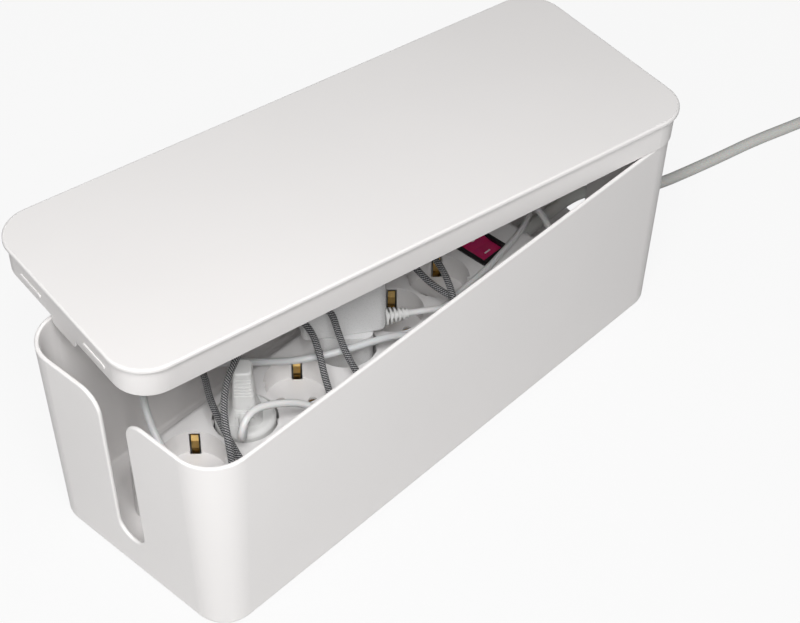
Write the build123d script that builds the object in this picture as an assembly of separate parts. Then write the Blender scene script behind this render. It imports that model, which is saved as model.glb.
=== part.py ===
"""Desktop cable box: an open tub with a lift-off lid that hides a six-way socket strip and its leads.

Millimetres, +Z up.  X runs along the box, Y across it, and the origin is the middle of the
surface that the box stands on.  Every separate physical piece is written to parts/NODE.step.
"""
from build123d import *
from math import atan2, cos, degrees, pi, radians, sin, tan
import os

# ---------------------------------------------------------------- tub
TUB_LENGTH = 400.0          # outside, at the rim
TUB_WIDTH = 156.0           # outside, at the rim
RIM_HEIGHT = 138.0          # from the table to the rim
RIM_CORNER = 25.5           # plan radius at the rim
DRAFT = 2.4                 # degrees, every side wall and the lid's skirt
WALL = 2.6
FLOOR = 3.0
FOOT_PROUD = 0.8            # the rubber feet lift the tub by this much
BOTTOM_EDGE = 3.0
RIM_ROUND = 1.1
SLOT_WIDTH = 21.0           # cable slot in each end wall
SLOT_BOTTOM = 26.0          # from the table to the lowest point of the slot
SLOT_ENTRY = 14.0           # radius of the slot's flared mouth at the rim

FOOT_DIAMETER = 14.0
FOOT_THICKNESS = 2.0
FOOT_X = 160.0
FOOT_Y = 50.0

# ---------------------------------------------------------------- lid
LID_SETBACK = 0.9           # the plate's edge stands this far inside the tub's outside
LID_PLATE = 3.0
LID_SKIRT_GAP = 0.5         # skirt to the inside of the tub when the lid is on
LID_SKIRT_DEPTH = 18.9
LID_SKIRT_WALL = 2.0
LID_TOP_ROUND = 1.3
LID_UNDER_ROUND = 0.6
TAB_WIDTH = 25.0            # locating tab on each end of the skirt
TAB_DEPTH = 5.5
TAB_CORNER = 2.5
BEAD_LENGTH = 22.5          # two grip beads on each end of the skirt
BEAD_HEIGHT = 3.2
BEAD_PROUD = 0.7
BEAD_OFFSET = 34.0
BEAD_DROP = 12.6            # from the plate's underside to the bead's middle
LID_YAW = -10.15            # how far the loose lid is swung round on the rim, degrees
LID_END_X = 205.8           # where the middle of the skirt's far lower edge lies
LID_END_Y = -9.8
LID_REST_GAP = 0.3          # air between the skirt's lower edge and the rim

# ---------------------------------------------------------------- socket strip
STRIP_LENGTH = 310.0
STRIP_WIDTH = 58.0
STRIP_HEIGHT = 45.0
STRIP_X = -15.0             # middle of the strip in the tub
STRIP_Y = 6.0
STRIP_WALL = 2.0
STRIP_CORNER = 9.0
STRIP_TOP_ROUND = 5.0
STRIP_SPLIT = 14.0          # height of the base half
SOCKETS = 6
SOCKET_PITCH = 42.0
FIRST_SOCKET = -126.7       # from the middle of the strip
SOCKET_TURN = -45.0         # the line through the two pin holes, degrees from X
WELL_RADIUS = 19.75
WELL_DEPTH = 17.5
WELL_WALL = 1.6
WELL_FLOOR = 2.0
PIN_SPACING = 19.0
PIN_DIAMETER = 4.8
PIN_LENGTH = 19.0
PIN_CLEARANCE = 0.25        # radial, pin to contact sleeve
PIN_HOLE = 5.8
GUIDE_WIDTH = 4.0
GUIDE_PROUD = 1.1
CLIP_WINDOW = 6.6
CLIP_WIDTH = 4.4
CLIP_THICKNESS = 0.8
CLIP_NOSE = 1.9             # how far the clip's nose stands into the well
SLEEVE = 8.0                # square contact sleeve under each pin hole
RAIL_WIDTH = 5.0
RAIL_THICKNESS = 1.0
RAIL_HEIGHT = 13.5
EARTH_HEIGHT = 9.0
FIT_GAP = 0.2               # loose parts inside the strip
SCREW_X = 146.0
SCREW_Y = 19.5
SCREW_SHANK = 2.5
SCREW_HEAD = 5.6
SCREW_HEAD_HEIGHT = 2.0
SCREW_LENGTH = 16.0
BOSS_DIAMETER = 7.6

SWITCH_X = 122.2            # from the middle of the strip
SWITCH_LENGTH = 28.0        # cut-out, across the strip
SWITCH_WIDTH = 22.0         # cut-out, along the strip
SWITCH_DEPTH = 16.0
SWITCH_WALL = 1.5
FLANGE = 1.3                # rim of the frame round its cut-out
FLANGE_THICKNESS = 1.4
ROCKER_TILT = 9.0           # degrees each way from level
ROCKER_GAP = 0.3
ROCKER_RADIUS = 12.0
ROCKER_PIVOT_DROP = 3.0     # below the strip's top
ROCKER_CROWN = 2.6          # middle of the rocker above its pivot
ROCKER_PIN = 3.0
ROCKER_PIN_LENGTH = 1.0

# ---------------------------------------------------------------- leads
MAINS_DIAMETER = 8.0
LEAD_DIAMETER = 4.5
BRAID_DIAMETER = 4.2
BOOT_LENGTH = 26.0
BOOT_ROOT = 12.5
BOOT_TIP = 9.4
COIL_X = 441.0
COIL_Y = -101.0
COIL_MEAN_RADIUS = 42.0
COIL_LIFT = 1.0             # the tie under the coil holds it up by its own thickness
TIE_WIDTH = 12.0
TIE_THICKNESS = 0.7
TIE_SLACK = 1.0             # the ring curves inside the straight loop
TIE_ANGLE = 20.0
PLUG_RADIUS = 19.0
PLUG_DEPTH = 15.0
COLLAR_LENGTH = 18.0
PLUG_X = 519.8
PLUG_Y = -37.9
PLUG_ANGLE = -75.0

# things plugged into the strip, heights above its underside
LEAD_BOOT = 9.0
LEAD_EXIT = 54.2             # middle of the flex's outlet above the strip's underside
SOCKET_PLUG_RADIUS = 18.2   # clears the guides and the earth clips' noses
SOCKET_PLUG_TOP = 49.0      # above the strip's underside
GRIP_WIDTH = 12.0
GRIP_DEPTH = 16.0
GRIP_FOOT = 62.0             # lower edge of the upright grip
GRIP_TOP = 88.0
PLUG_SEAT = 0.4             # plug face above the floor of the well

CHARGER_WIDTH = 52.0
CHARGER_DEPTH = 30.0
CHARGER_HEIGHT = 52.0
CHARGER_FRONT = 4.5         # the case stands this far in front of its pins
CHARGER_UNDER = 56.2        # underside of the case above the strip's underside
CHARGER_SHELL = 1.8
CHARGER_PLATE = 2.0
FOOT_LONG = 34.0            # the flat two-pin foot that fills the socket
FOOT_WIDE = 13.4
CHARGER_LEAD_DIAMETER = 4.0
CHARGER_SWING = 10.3        # the case is moulded at this angle to its pins, degrees
CHARGER_SHIFT = -0.9        # along the case's front, from its pins
CHARGER_BOOT = 14.0
CHARGER_BOOT_HEIGHT = 6.2   # above the case's underside
CHARGER_BOOT_BACK = 6.0     # behind the case's front

# ---------------------------------------------------------------- derived sizes
TUB_UNDERSIDE = FOOT_PROUD
FLOOR_TOP = TUB_UNDERSIDE + FLOOR
TUB_HEIGHT = RIM_HEIGHT - TUB_UNDERSIDE
STRIP_BASE = Location((STRIP_X, STRIP_Y, FLOOR_TOP))
STRIP_TOP = FLOOR_TOP + STRIP_HEIGHT
WELL_FLOOR_TOP = STRIP_HEIGHT - WELL_DEPTH
WELL_FLOOR_UNDER = WELL_FLOOR_TOP - WELL_FLOOR
SOCKET_CENTRES = [FIRST_SOCKET + SOCKET_PITCH * i for i in range(SOCKETS)]
PIVOT_HEIGHT = STRIP_HEIGHT - ROCKER_PIVOT_DROP
TURN = radians(SOCKET_TURN)
CORD_EXIT_HEIGHT = 28.0     # above the strip's underside

parts = {}


def keep(name, shape):
    """Keep a finished piece under its node name."""
    parts[name] = shape


def box_at(length, width, height, x, y, z):
    """A box with its middle at x, y and its underside at z."""
    return Pos(x, y, z + height / 2) * Box(length, width, height)


def rod_at(radius, height, x, y, z):
    """An upright cylinder with its underside at z."""
    return Pos(x, y, z + height / 2) * Cylinder(radius, height)


def tapered_block(length, width, corner, z_top, height):
    """A rounded block that narrows downwards with the mould draft."""
    outline = Pos(0, 0, z_top) * RectangleRounded(length, width, corner)
    return extrude(outline, amount=height, dir=(0, 0, -1), taper=DRAFT)


def edges_on_level(shape, z, tolerance=0.05):
    """The edges that lie flat at height z."""
    found = ShapeList()
    for edge in shape.edges():
        box = edge.bounding_box()
        if abs(box.min.Z - z) < tolerance and abs(box.max.Z - z) < tolerance:
            found.append(edge)
    return found


# ---------------------------------------------------------------- tub and feet
def slot_outline():
    """The end slot in the Y-Z plane: flared mouth, parallel sides, round bottom."""
    half = SLOT_WIDTH / 2
    mouth = half + SLOT_ENTRY
    above = RIM_HEIGHT + 5
    shoulder = RIM_HEIGHT - SLOT_ENTRY
    centre = SLOT_BOTTOM + half
    diagonal = SLOT_ENTRY * (1 - cos(pi / 4))
    with BuildSketch(Plane.YZ) as outline:
        with BuildLine():
            Polyline((mouth, RIM_HEIGHT), (mouth, above), (-mouth, above), (-mouth, RIM_HEIGHT))
            ThreePointArc((-mouth, RIM_HEIGHT),
                          (-half - diagonal, RIM_HEIGHT - diagonal), (-half, shoulder))
            Line((-half, shoulder), (-half, centre))
            ThreePointArc((-half, centre), (0, SLOT_BOTTOM), (half, centre))
            Line((half, centre), (half, shoulder))
            ThreePointArc((half, shoulder),
                          (half + diagonal, RIM_HEIGHT - diagonal), (mouth, RIM_HEIGHT))
        make_face()
    return outline.sketch


def make_tub():
    """The tub: one moulding with drafted walls and a cable slot at each end."""
    outer = tapered_block(TUB_LENGTH, TUB_WIDTH, RIM_CORNER, RIM_HEIGHT, TUB_HEIGHT)
    outer = fillet(edges_on_level(outer, TUB_UNDERSIDE), BOTTOM_EDGE)
    inner = tapered_block(TUB_LENGTH - 2 * WALL, TUB_WIDTH - 2 * WALL, RIM_CORNER - WALL,
                          RIM_HEIGHT, RIM_HEIGHT - FLOOR_TOP)
    inner = fillet(edges_on_level(inner, FLOOR_TOP), max(BOTTOM_EDGE - 1.0, 0.5))
    shell = outer - inner
    shell -= extrude(slot_outline(), amount=TUB_LENGTH, both=True)
    rim = ShapeList()
    for edge in shell.edges():
        box = edge.bounding_box()
        on_top = box.min.Z > RIM_HEIGHT - 0.05
        on_slot = (box.min.Z > SLOT_BOTTOM - 0.1 and abs(edge.center().Y) < SLOT_WIDTH / 2 + SLOT_ENTRY
                   and box.size.X < WALL and abs(edge.center().X) > TUB_LENGTH / 2 - 20)
        across_wall = on_slot and box.size.X > WALL * 0.7 and box.size.Z < 1.0 and box.size.Y < 0.5
        if (on_top or on_slot) and not across_wall and edge.length > WALL + 0.5:
            rim.append(edge)
    shell = fillet(rim, RIM_ROUND)
    for x in (-FOOT_X, FOOT_X):
        for y in (-FOOT_Y, FOOT_Y):
            shell -= rod_at(FOOT_DIAMETER / 2 + FIT_GAP, FOOT_THICKNESS - FOOT_PROUD,
                            x, y, TUB_UNDERSIDE)
    return shell


def make_feet():
    """Four stuck-on rubber feet, as a group of separate solids."""
    feet = []
    for x in (-FOOT_X, FOOT_X):
        for y in (-FOOT_Y, FOOT_Y):
            foot = rod_at(FOOT_DIAMETER / 2, FOOT_THICKNESS, x, y, 0)
            feet.append(fillet(edges_on_level(foot, 0), 0.4))
    return Compound(children=feet)


# ---------------------------------------------------------------- lid
SKIRT_LENGTH = TUB_LENGTH - 2 * (WALL + LID_SKIRT_GAP)
SKIRT_WIDTH = TUB_WIDTH - 2 * (WALL + LID_SKIRT_GAP)
SKIRT_CORNER = RIM_CORNER - WALL - LID_SKIRT_GAP
SKIRT_END = SKIRT_LENGTH / 2 - LID_SKIRT_DEPTH * tan(radians(DRAFT))


def lid_place():
    """Where the loose lid lies: swung round, its near end up on the tab."""
    pitch = degrees(atan2(TAB_DEPTH, 2 * SKIRT_END))
    end = Pos(LID_END_X, LID_END_Y, RIM_HEIGHT + LID_REST_GAP)
    return end * Rot(0, 0, LID_YAW) * Rot(0, pitch, 0) * Pos(-SKIRT_END, 0, LID_SKIRT_DEPTH)


def make_lid():
    """The lid: a plate with a drafted skirt, end tabs and grip beads, in its own frame."""
    length = TUB_LENGTH - 2 * LID_SETBACK
    width = TUB_WIDTH - 2 * LID_SETBACK
    plate = extrude(RectangleRounded(length, width, RIM_CORNER - LID_SETBACK), amount=LID_PLATE)
    plate = fillet(edges_on_level(plate, LID_PLATE), LID_TOP_ROUND)
    plate = fillet(edges_on_level(plate, 0), LID_UNDER_ROUND)
    skirt = tapered_block(SKIRT_LENGTH, SKIRT_WIDTH, SKIRT_CORNER, 0, LID_SKIRT_DEPTH)
    skirt -= tapered_block(SKIRT_LENGTH - 2 * LID_SKIRT_WALL, SKIRT_WIDTH - 2 * LID_SKIRT_WALL,
                           SKIRT_CORNER - LID_SKIRT_WALL, 0, LID_SKIRT_DEPTH)
    lid = plate + skirt
    for side in (-1, 1):
        tab_height = TAB_DEPTH + LID_SKIRT_DEPTH / 2
        tab = Box(LID_SKIRT_WALL, TAB_WIDTH, tab_height)
        tab = fillet(tab.edges().filter_by(Axis.X).group_by(Axis.Z)[0], TAB_CORNER)
        tab_z = -LID_SKIRT_DEPTH - TAB_DEPTH + tab_height / 2
        lid += Pos(side * (SKIRT_END - LID_SKIRT_WALL / 2), 0, tab_z) * tab
        for y in (-BEAD_OFFSET, BEAD_OFFSET):
            face_x = SKIRT_LENGTH / 2 - BEAD_DROP * tan(radians(DRAFT))
            bead = SlotOverall(BEAD_LENGTH, BEAD_HEIGHT)
            bead = extrude(Plane.YZ * bead, amount=BEAD_PROUD + 0.8)
            bead = fillet(bead.faces().sort_by(Axis.X)[-1].edges(), BEAD_PROUD * 0.8)
            if side < 0:
                bead = mirror(bead, about=Plane.YZ)
            lid += Pos(side * (face_x - 0.8), y, -BEAD_DROP) * bead
    return lid_place() * lid


# ---------------------------------------------------------------- socket strip
def at_socket(index):
    """The place of a socket: its middle, turned so that +X runs through its pin holes."""
    return STRIP_BASE * Pos(SOCKET_CENTRES[index], 0, 0) * Rot(0, 0, SOCKET_TURN)


def strip_block(inset, z, height):
    """A plain rounded block with the strip's outline, drawn in by inset."""
    outline = RectangleRounded(STRIP_LENGTH - 2 * inset, STRIP_WIDTH - 2 * inset,
                               STRIP_CORNER - inset)
    return Pos(0, 0, z) * extrude(outline, amount=height)


def make_strip_base():
    """The lower half of the strip's housing, with rail posts and screw holes."""
    base = strip_block(0, 0, STRIP_SPLIT)
    base = fillet(edges_on_level(base, 0), 1.5)
    base -= strip_block(STRIP_WALL, STRIP_WALL, STRIP_SPLIT)
    for centre in SOCKET_CENTRES:
        for y in (-rail_offset(), rail_offset()):
            base += box_at(4, 3.6, RAIL_HEIGHT - STRIP_WALL, centre + SOCKET_PITCH / 2 - 1.5, y,
                           STRIP_WALL)
    for x in (-SCREW_X, SCREW_X):
        for y in (-SCREW_Y, SCREW_Y):
            base -= rod_at(SCREW_SHANK / 2 + FIT_GAP, STRIP_WALL + 1, x, y, -0.5)
            base += rod_at(BOSS_DIAMETER / 2, SCREW_HEAD_HEIGHT + 2, x, y, 0.5)
            base -= rod_at(SCREW_SHANK / 2 + FIT_GAP, 8, x, y, -0.5)
            base -= rod_at(SCREW_HEAD / 2 + FIT_GAP, SCREW_HEAD_HEIGHT, x, y, 0)
    return STRIP_BASE * base


def rail_offset():
    """How far the live and neutral rails lie from the strip's middle line."""
    return PIN_SPACING / 2 * abs(sin(TURN))


def well_cutter():
    """What is cut out of the cover at one socket."""
    cutter = rod_at(WELL_RADIUS, WELL_DEPTH + 1, 0, 0, WELL_FLOOR_TOP)
    for x in (-PIN_SPACING / 2, PIN_SPACING / 2):
        cutter += rod_at(PIN_HOLE / 2, WELL_FLOOR + 2, x, 0, WELL_FLOOR_UNDER - 1)
    for side in (-1, 1):
        window = box_at(CLIP_WINDOW, 4.6, WELL_DEPTH - 1.2 + WELL_FLOOR, 0,
                        side * (WELL_RADIUS + 0.6), WELL_FLOOR_UNDER - 0.5)
        cutter += window
    return cutter


def make_strip_cover():
    """The upper half of the housing: socket wells, switch cut-out and cord hole."""
    height = STRIP_HEIGHT - STRIP_SPLIT
    cover = strip_block(0, STRIP_SPLIT, height)
    cover = fillet(edges_on_level(cover, STRIP_HEIGHT), STRIP_TOP_ROUND)
    hollow = strip_block(STRIP_WALL, STRIP_SPLIT, height - STRIP_WALL)
    hollow = fillet(edges_on_level(hollow, STRIP_HEIGHT - STRIP_WALL), STRIP_TOP_ROUND - STRIP_WALL)
    cover -= hollow
    for centre in SOCKET_CENTRES:
        cover += rod_at(WELL_RADIUS + WELL_WALL, WELL_DEPTH + WELL_FLOOR - 0.5, centre, 0,
                        WELL_FLOOR_UNDER)
    for centre in SOCKET_CENTRES:
        place = Pos(centre, 0, 0) * Rot(0, 0, SOCKET_TURN)
        cover -= place * well_cutter()
        for side in (-1, 1):
            guide = box_at(GUIDE_PROUD * 2, GUIDE_WIDTH, WELL_DEPTH - 3,
                           side * WELL_RADIUS, 0, WELL_FLOOR_TOP)
            cover += place * guide
    for x in (-SCREW_X, SCREW_X):
        for y in (-SCREW_Y, SCREW_Y):
            z = SCREW_HEAD_HEIGHT + 2.5 + FIT_GAP
            cover += rod_at(BOSS_DIAMETER / 2, STRIP_HEIGHT - STRIP_WALL - z + 0.5, x, y, z)
            cover -= rod_at(SCREW_SHANK / 2 + 0.1, SCREW_LENGTH, x, y, z - 1)
    cover -= box_at(SWITCH_WIDTH, SWITCH_LENGTH, STRIP_WALL + 4, SWITCH_X, 0, STRIP_HEIGHT - 4)
    hole = Pos(STRIP_LENGTH / 2, 0, CORD_EXIT_HEIGHT) * Rot(0, 90, 0)
    cover -= hole * Cylinder(BOOT_ROOT / 2 - 1.2 + FIT_GAP, 3 * STRIP_WALL)
    return STRIP_BASE * cover


def make_rail(side):
    """A brass rail with one contact sleeve under each pin hole on its side."""
    y = side * rail_offset()
    first = SOCKET_CENTRES[0] - side * rail_offset()
    last = SOCKET_CENTRES[-1] - side * rail_offset()
    start = first - SLEEVE / 2
    end = last + SLEEVE / 2 + 6
    rail = box_at(end - start, RAIL_WIDTH, RAIL_THICKNESS, (start + end) / 2, y, RAIL_HEIGHT)
    z = RAIL_HEIGHT + RAIL_THICKNESS
    for centre in SOCKET_CENTRES:
        x = centre - side * rail_offset()
        rail += Pos(x, y, 0) * Rot(0, 0, SOCKET_TURN) * box_at(SLEEVE, SLEEVE,
                                                               WELL_FLOOR_UNDER - 0.5 - z, 0, 0, z)
        rail -= rod_at(PIN_DIAMETER / 2 + PIN_CLEARANCE, WELL_FLOOR_UNDER, x, y, RAIL_HEIGHT - 1)
    return STRIP_BASE * rail


def earth_clip():
    """One sprung earth clip, standing at +Y of a socket with its nose towards the middle."""
    inner = WELL_RADIUS + 0.5
    floor = WELL_FLOOR_TOP
    bow = [(0, EARTH_HEIGHT), (0, floor - 1.5), (-0.8, floor + 0.6), (-CLIP_NOSE, floor + 2.2),
           (-CLIP_NOSE, floor + 4.2), (-0.9, floor + 6.0), (0.5, floor + 7.6), (0.5, floor + 9.6)]
    profile = [(inner + y, z) for y, z in bow]
    profile += [(inner + y + CLIP_THICKNESS, z) for y, z in reversed(bow)]
    with BuildSketch(Plane.YZ) as outline:
        with BuildLine():
            Polyline((mouth, RIM_HEIGHT), (mouth, above), (-mouth, above), (-mouth, RIM_HEIGHT))
            ThreePointArc((-mouth, RIM_HEIGHT),
                          (-half - diagonal, RIM_HEIGHT - diagonal), (-half, shoulder))
            Line((-half, shoulder), (-half, centre))
            ThreePointArc((-half, centre), (0, SLOT_BOTTOM), (half, centre))
            Line((half, centre), (half, shoulder))
            ThreePointArc((half, shoulder),
                          (half + diagonal, RIM_HEIGHT - diagonal), (mouth, RIM_HEIGHT))
        make_face()
    return outline.sketch


def make_tub():
    """The tub: one moulding with drafted walls and a cable slot at each end."""
    outer = tapered_block(TUB_LENGTH, TUB_WIDTH, RIM_CORNER, RIM_HEIGHT, TUB_HEIGHT)
    outer = fillet(edges_on_level(outer, TUB_UNDERSIDE), BOTTOM_EDGE)
    inner = tapered_block(TUB_LENGTH - 2 * WALL, TUB_WIDTH - 2 * WALL, RIM_CORNER - WALL,
                          RIM_HEIGHT, RIM_HEIGHT - FLOOR_TOP)
    inner = fillet(edges_on_level(inner, FLOOR_TOP), max(BOTTOM_EDGE - 1.0, 0.5))
    shell = outer - inner
    shell -= extrude(slot_outline(), amount=TUB_LENGTH, both=True)
    rim = ShapeList()
    for edge in shell.edges():
        box = edge.bounding_box()
        on_top = box.min.Z > RIM_HEIGHT - 0.05
        on_slot = (box.min.Z > SLOT_BOTTOM - 0.1 and abs(edge.center().Y) < SLOT_WIDTH / 2 + SLOT_ENTRY
                   and box.size.X < WALL and abs(edge.center().X) > TUB_LENGTH / 2 - 20)
        across_wall = on_slot and box.size.X > WALL * 0.7 and box.size.Z < 1.0 and box.size.Y < 0.5
        if (on_top or on_slot) and not across_wall and edge.length > WALL + 0.5:
            rim.append(edge)
    shell = fillet(rim, RIM_ROUND)
    for x in (-FOOT_X, FOOT_X):
        for y in (-FOOT_Y, FOOT_Y):
            shell -= rod_at(FOOT_DIAMETER / 2 + FIT_GAP, FOOT_THICKNESS - FOOT_PROUD,
                            x, y, TUB_UNDERSIDE)
    return shell


def make_feet():
    """Four stuck-on rubber feet, as a group of separate solids."""
    feet = []
    for x in (-FOOT_X, FOOT_X):
        for y in (-FOOT_Y, FOOT_Y):
            foot = rod_at(FOOT_DIAMETER / 2, FOOT_THICKNESS, x, y, 0)
            feet.append(fillet(edges_on_level(foot, 0), 0.4))
    return Compound(children=feet)


# ---------------------------------------------------------------- lid
SKIRT_LENGTH = TUB_LENGTH - 2 * (WALL + LID_SKIRT_GAP)
SKIRT_WIDTH = TUB_WIDTH - 2 * (WALL + LID_SKIRT_GAP)
SKIRT_CORNER = RIM_CORNER - WALL - LID_SKIRT_GAP
SKIRT_END = SKIRT_LENGTH / 2 - LID_SKIRT_DEPTH * tan(radians(DRAFT))


def lid_place():
    """Where the loose lid lies: swung round, its near end up on the tab."""
    pitch = degrees(atan2(TAB_DEPTH, 2 * SKIRT_END))
    end = Pos(LID_END_X, LID_END_Y, RIM_HEIGHT + LID_REST_GAP)
    return end * Rot(0, 0, LID_YAW) * Rot(0, pitch, 0) * Pos(-SKIRT_END, 0, LID_SKIRT_DEPTH)


def make_lid():
    """The lid: a plate with a drafted skirt, end tabs and grip beads, in its own frame."""
    length = TUB_LENGTH - 2 * LID_SETBACK
    width = TUB_WIDTH - 2 * LID_SETBACK
    plate = extrude(RectangleRounded(length, width, RIM_CORNER - LID_SETBACK), amount=LID_PLATE)
    plate = fillet(edges_on_level(plate, LID_PLATE), LID_TOP_ROUND)
    plate = fillet(edges_on_level(plate, 0), LID_UNDER_ROUND)
    skirt = tapered_block(SKIRT_LENGTH, SKIRT_WIDTH, SKIRT_CORNER, 0, LID_SKIRT_DEPTH)
    skirt -= tapered_block(SKIRT_LENGTH - 2 * LID_SKIRT_WALL, SKIRT_WIDTH - 2 * LID_SKIRT_WALL,
                           SKIRT_CORNER - LID_SKIRT_WALL, 0, LID_SKIRT_DEPTH)
    lid = plate + skirt
    for side in (-1, 1):
        tab_height = TAB_DEPTH + LID_SKIRT_DEPTH / 2
        tab = Box(LID_SKIRT_WALL, TAB_WIDTH, tab_height)
        tab = fillet(tab.edges().filter_by(Axis.X).group_by(Axis.Z)[0], TAB_CORNER)
        tab_z = -LID_SKIRT_DEPTH - TAB_DEPTH + tab_height / 2
        lid += Pos(side * (SKIRT_END - LID_SKIRT_WALL / 2), 0, tab_z) * tab
        for y in (-BEAD_OFFSET, BEAD_OFFSET):
            face_x = SKIRT_LENGTH / 2 - BEAD_DROP * tan(radians(DRAFT))
            bead = SlotOverall(BEAD_LENGTH, BEAD_HEIGHT)
            bead = extrude(Plane.YZ * bead, amount=BEAD_PROUD + 0.8)
            bead = fillet(bead.faces().sort_by(Axis.X)[-1].edges(), BEAD_PROUD * 0.8)
            if side < 0:
                bead = mirror(bead, about=Plane.YZ)
            lid += Pos(side * (face_x - 0.8), y, -BEAD_DROP) * bead
    return lid_place() * lid


# ---------------------------------------------------------------- socket strip
def at_socket(index):
    """The place of a socket: its middle, turned so that +X runs through its pin holes."""
    return STRIP_BASE * Pos(SOCKET_CENTRES[index], 0, 0) * Rot(0, 0, SOCKET_TURN)


def strip_block(inset, z, height):
    """A plain rounded block with the strip's outline, drawn in by inset."""
    outline = RectangleRounded(STRIP_LENGTH - 2 * inset, STRIP_WIDTH - 2 * inset,
                               STRIP_CORNER - inset)
    return Pos(0, 0, z) * extrude(outline, amount=height)


def make_strip_base():
    """The lower half of the strip's housing, with rail posts and screw holes."""
    base = strip_block(0, 0, STRIP_SPLIT)
    base = fillet(edges_on_level(base, 0), 1.5)
    base -= strip_block(STRIP_WALL, STRIP_WALL, STRIP_SPLIT)
    for centre in SOCKET_CENTRES:
        for y in (-rail_offset(), rail_offset()):
            base += box_at(4, 3.6, RAIL_HEIGHT - STRIP_WALL, centre + SOCKET_PITCH / 2 - 1.5, y,
                           STRIP_WALL)
    for x in (-SCREW_X, SCREW_X):
        for y in (-SCREW_Y, SCREW_Y):
            base -= rod_at(SCREW_SHANK / 2 + FIT_GAP, STRIP_WALL + 1, x, y, -0.5)
            base += rod_at(BOSS_DIAMETER / 2, SCREW_HEAD_HEIGHT + 2, x, y, 0.5)
            base -= rod_at(SCREW_SHANK / 2 + FIT_GAP, 8, x, y, -0.5)
            base -= rod_at(SCREW_HEAD / 2 + FIT_GAP, SCREW_HEAD_HEIGHT, x, y, 0)
    return STRIP_BASE * base


def rail_offset():
    """How far the live and neutral rails lie from the strip's middle line."""
    return PIN_SPACING / 2 * abs(sin(TURN))


def well_cutter():
    """What is cut out of the cover at one socket."""
    cutter = rod_at(WELL_RADIUS, WELL_DEPTH + 1, 0, 0, WELL_FLOOR_TOP)
    for x in (-PIN_SPACING / 2, PIN_SPACING / 2):
        cutter += rod_at(PIN_HOLE / 2, WELL_FLOOR + 2, x, 0, WELL_FLOOR_UNDER - 1)
    for side in (-1, 1):
        window = box_at(CLIP_WINDOW, 4.6, WELL_DEPTH - 1.2 + WELL_FLOOR, 0,
                        side * (WELL_RADIUS + 0.6), WELL_FLOOR_UNDER - 0.5)
        cutter += window
    return cutter


def make_strip_cover():
    """The upper half of the housing: socket wells, switch cut-out and cord hole."""
    height = STRIP_HEIGHT - STRIP_SPLIT
    cover = strip_block(0, STRIP_SPLIT, height)
    cover = fillet(edges_on_level(cover, STRIP_HEIGHT), STRIP_TOP_ROUND)
    hollow = strip_block(STRIP_WALL, STRIP_SPLIT, height - STRIP_WALL)
    hollow = fillet(edges_on_level(hollow, STRIP_HEIGHT - STRIP_WALL), STRIP_TOP_ROUND - STRIP_WALL)
    cover -= hollow
    for centre in SOCKET_CENTRES:
        cover += rod_at(WELL_RADIUS + WELL_WALL, WELL_DEPTH + WELL_FLOOR - 0.5, centre, 0,
                        WELL_FLOOR_UNDER)
    for centre in SOCKET_CENTRES:
        place = Pos(centre, 0, 0) * Rot(0, 0, SOCKET_TURN)
        cover -= place * well_cutter()
        for side in (-1, 1):
            guide = box_at(GUIDE_PROUD * 2, GUIDE_WIDTH, WELL_DEPTH - 3,
                           side * WELL_RADIUS, 0, WELL_FLOOR_TOP)
            cover += place * guide
    for x in (-SCREW_X, SCREW_X):
        for y in (-SCREW_Y, SCREW_Y):
            z = SCREW_HEAD_HEIGHT + 2.5 + FIT_GAP
            cover += rod_at(BOSS_DIAMETER / 2, STRIP_HEIGHT - STRIP_WALL - z + 0.5, x, y, z)
            cover -= rod_at(SCREW_SHANK / 2 + 0.1, SCREW_LENGTH, x, y, z - 1)
    cover -= box_at(SWITCH_WIDTH, SWITCH_LENGTH, STRIP_WALL + 4, SWITCH_X, 0, STRIP_HEIGHT - 4)
    hole = Pos(STRIP_LENGTH / 2, 0, CORD_EXIT_HEIGHT) * Rot(0, 90, 0)
    cover -= hole * Cylinder(BOOT_ROOT / 2 - 1.2 + FIT_GAP, 3 * STRIP_WALL)
    return STRIP_BASE * cover


def make_rail(side):
    """A brass rail with one contact sleeve under each pin hole on its side."""
    y = side * rail_offset()
    first = SOCKET_CENTRES[0] - side * rail_offset()
    last = SOCKET_CENTRES[-1] - side * rail_offset()
    start = first - SLEEVE / 2
    end = last + SLEEVE / 2 + 6
    rail = box_at(end - start, RAIL_WIDTH, RAIL_THICKNESS, (start + end) / 2, y, RAIL_HEIGHT)
    z = RAIL_HEIGHT + RAIL_THICKNESS
    for centre in SOCKET_CENTRES:
        x = centre - side * rail_offset()
        rail += Pos(x, y, 0) * Rot(0, 0, SOCKET_TURN) * box_at(SLEEVE, SLEEVE,
                                                               WELL_FLOOR_UNDER - 0.5 - z, 0, 0, z)
        rail -= rod_at(PIN_DIAMETER / 2 + PIN_CLEARANCE, WELL_FLOOR_UNDER, x, y, RAIL_HEIGHT - 1)
    return STRIP_BASE * rail


def earth_clip():
    """One sprung earth clip, standing at +Y of a socket with its nose towards the middle."""
    inner = WELL_RADIUS + 0.5
    top = STRIP_HEIGHT - 3.2
    nose = STRIP_HEIGHT - 12.5
    profile = [(inner, EARTH_HEIGHT), (inner, nose - 3.4), (inner - CLIP_NOSE, nose),
               (inner, nose + 4.0), (inner - 0.5, top), (inner - 0.5 + CLIP_THICKNESS, top),
               (inner + CLIP_THICKNESS, nose + 4.0), (inner - CLIP_NOSE + CLIP_THICKNESS, nose),
               (inner + CLIP_THICKNESS, nose - 3.4), (inner + CLIP_THICKNESS, EARTH_HEIGHT)]
    with BuildSketch(Plane.YZ) as outline:
        with BuildLine():
            Polyline(*profile, close=True)
        make_face()
    return extrude(outline.sketch, amount=CLIP_WIDTH / 2, both=True)


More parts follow.
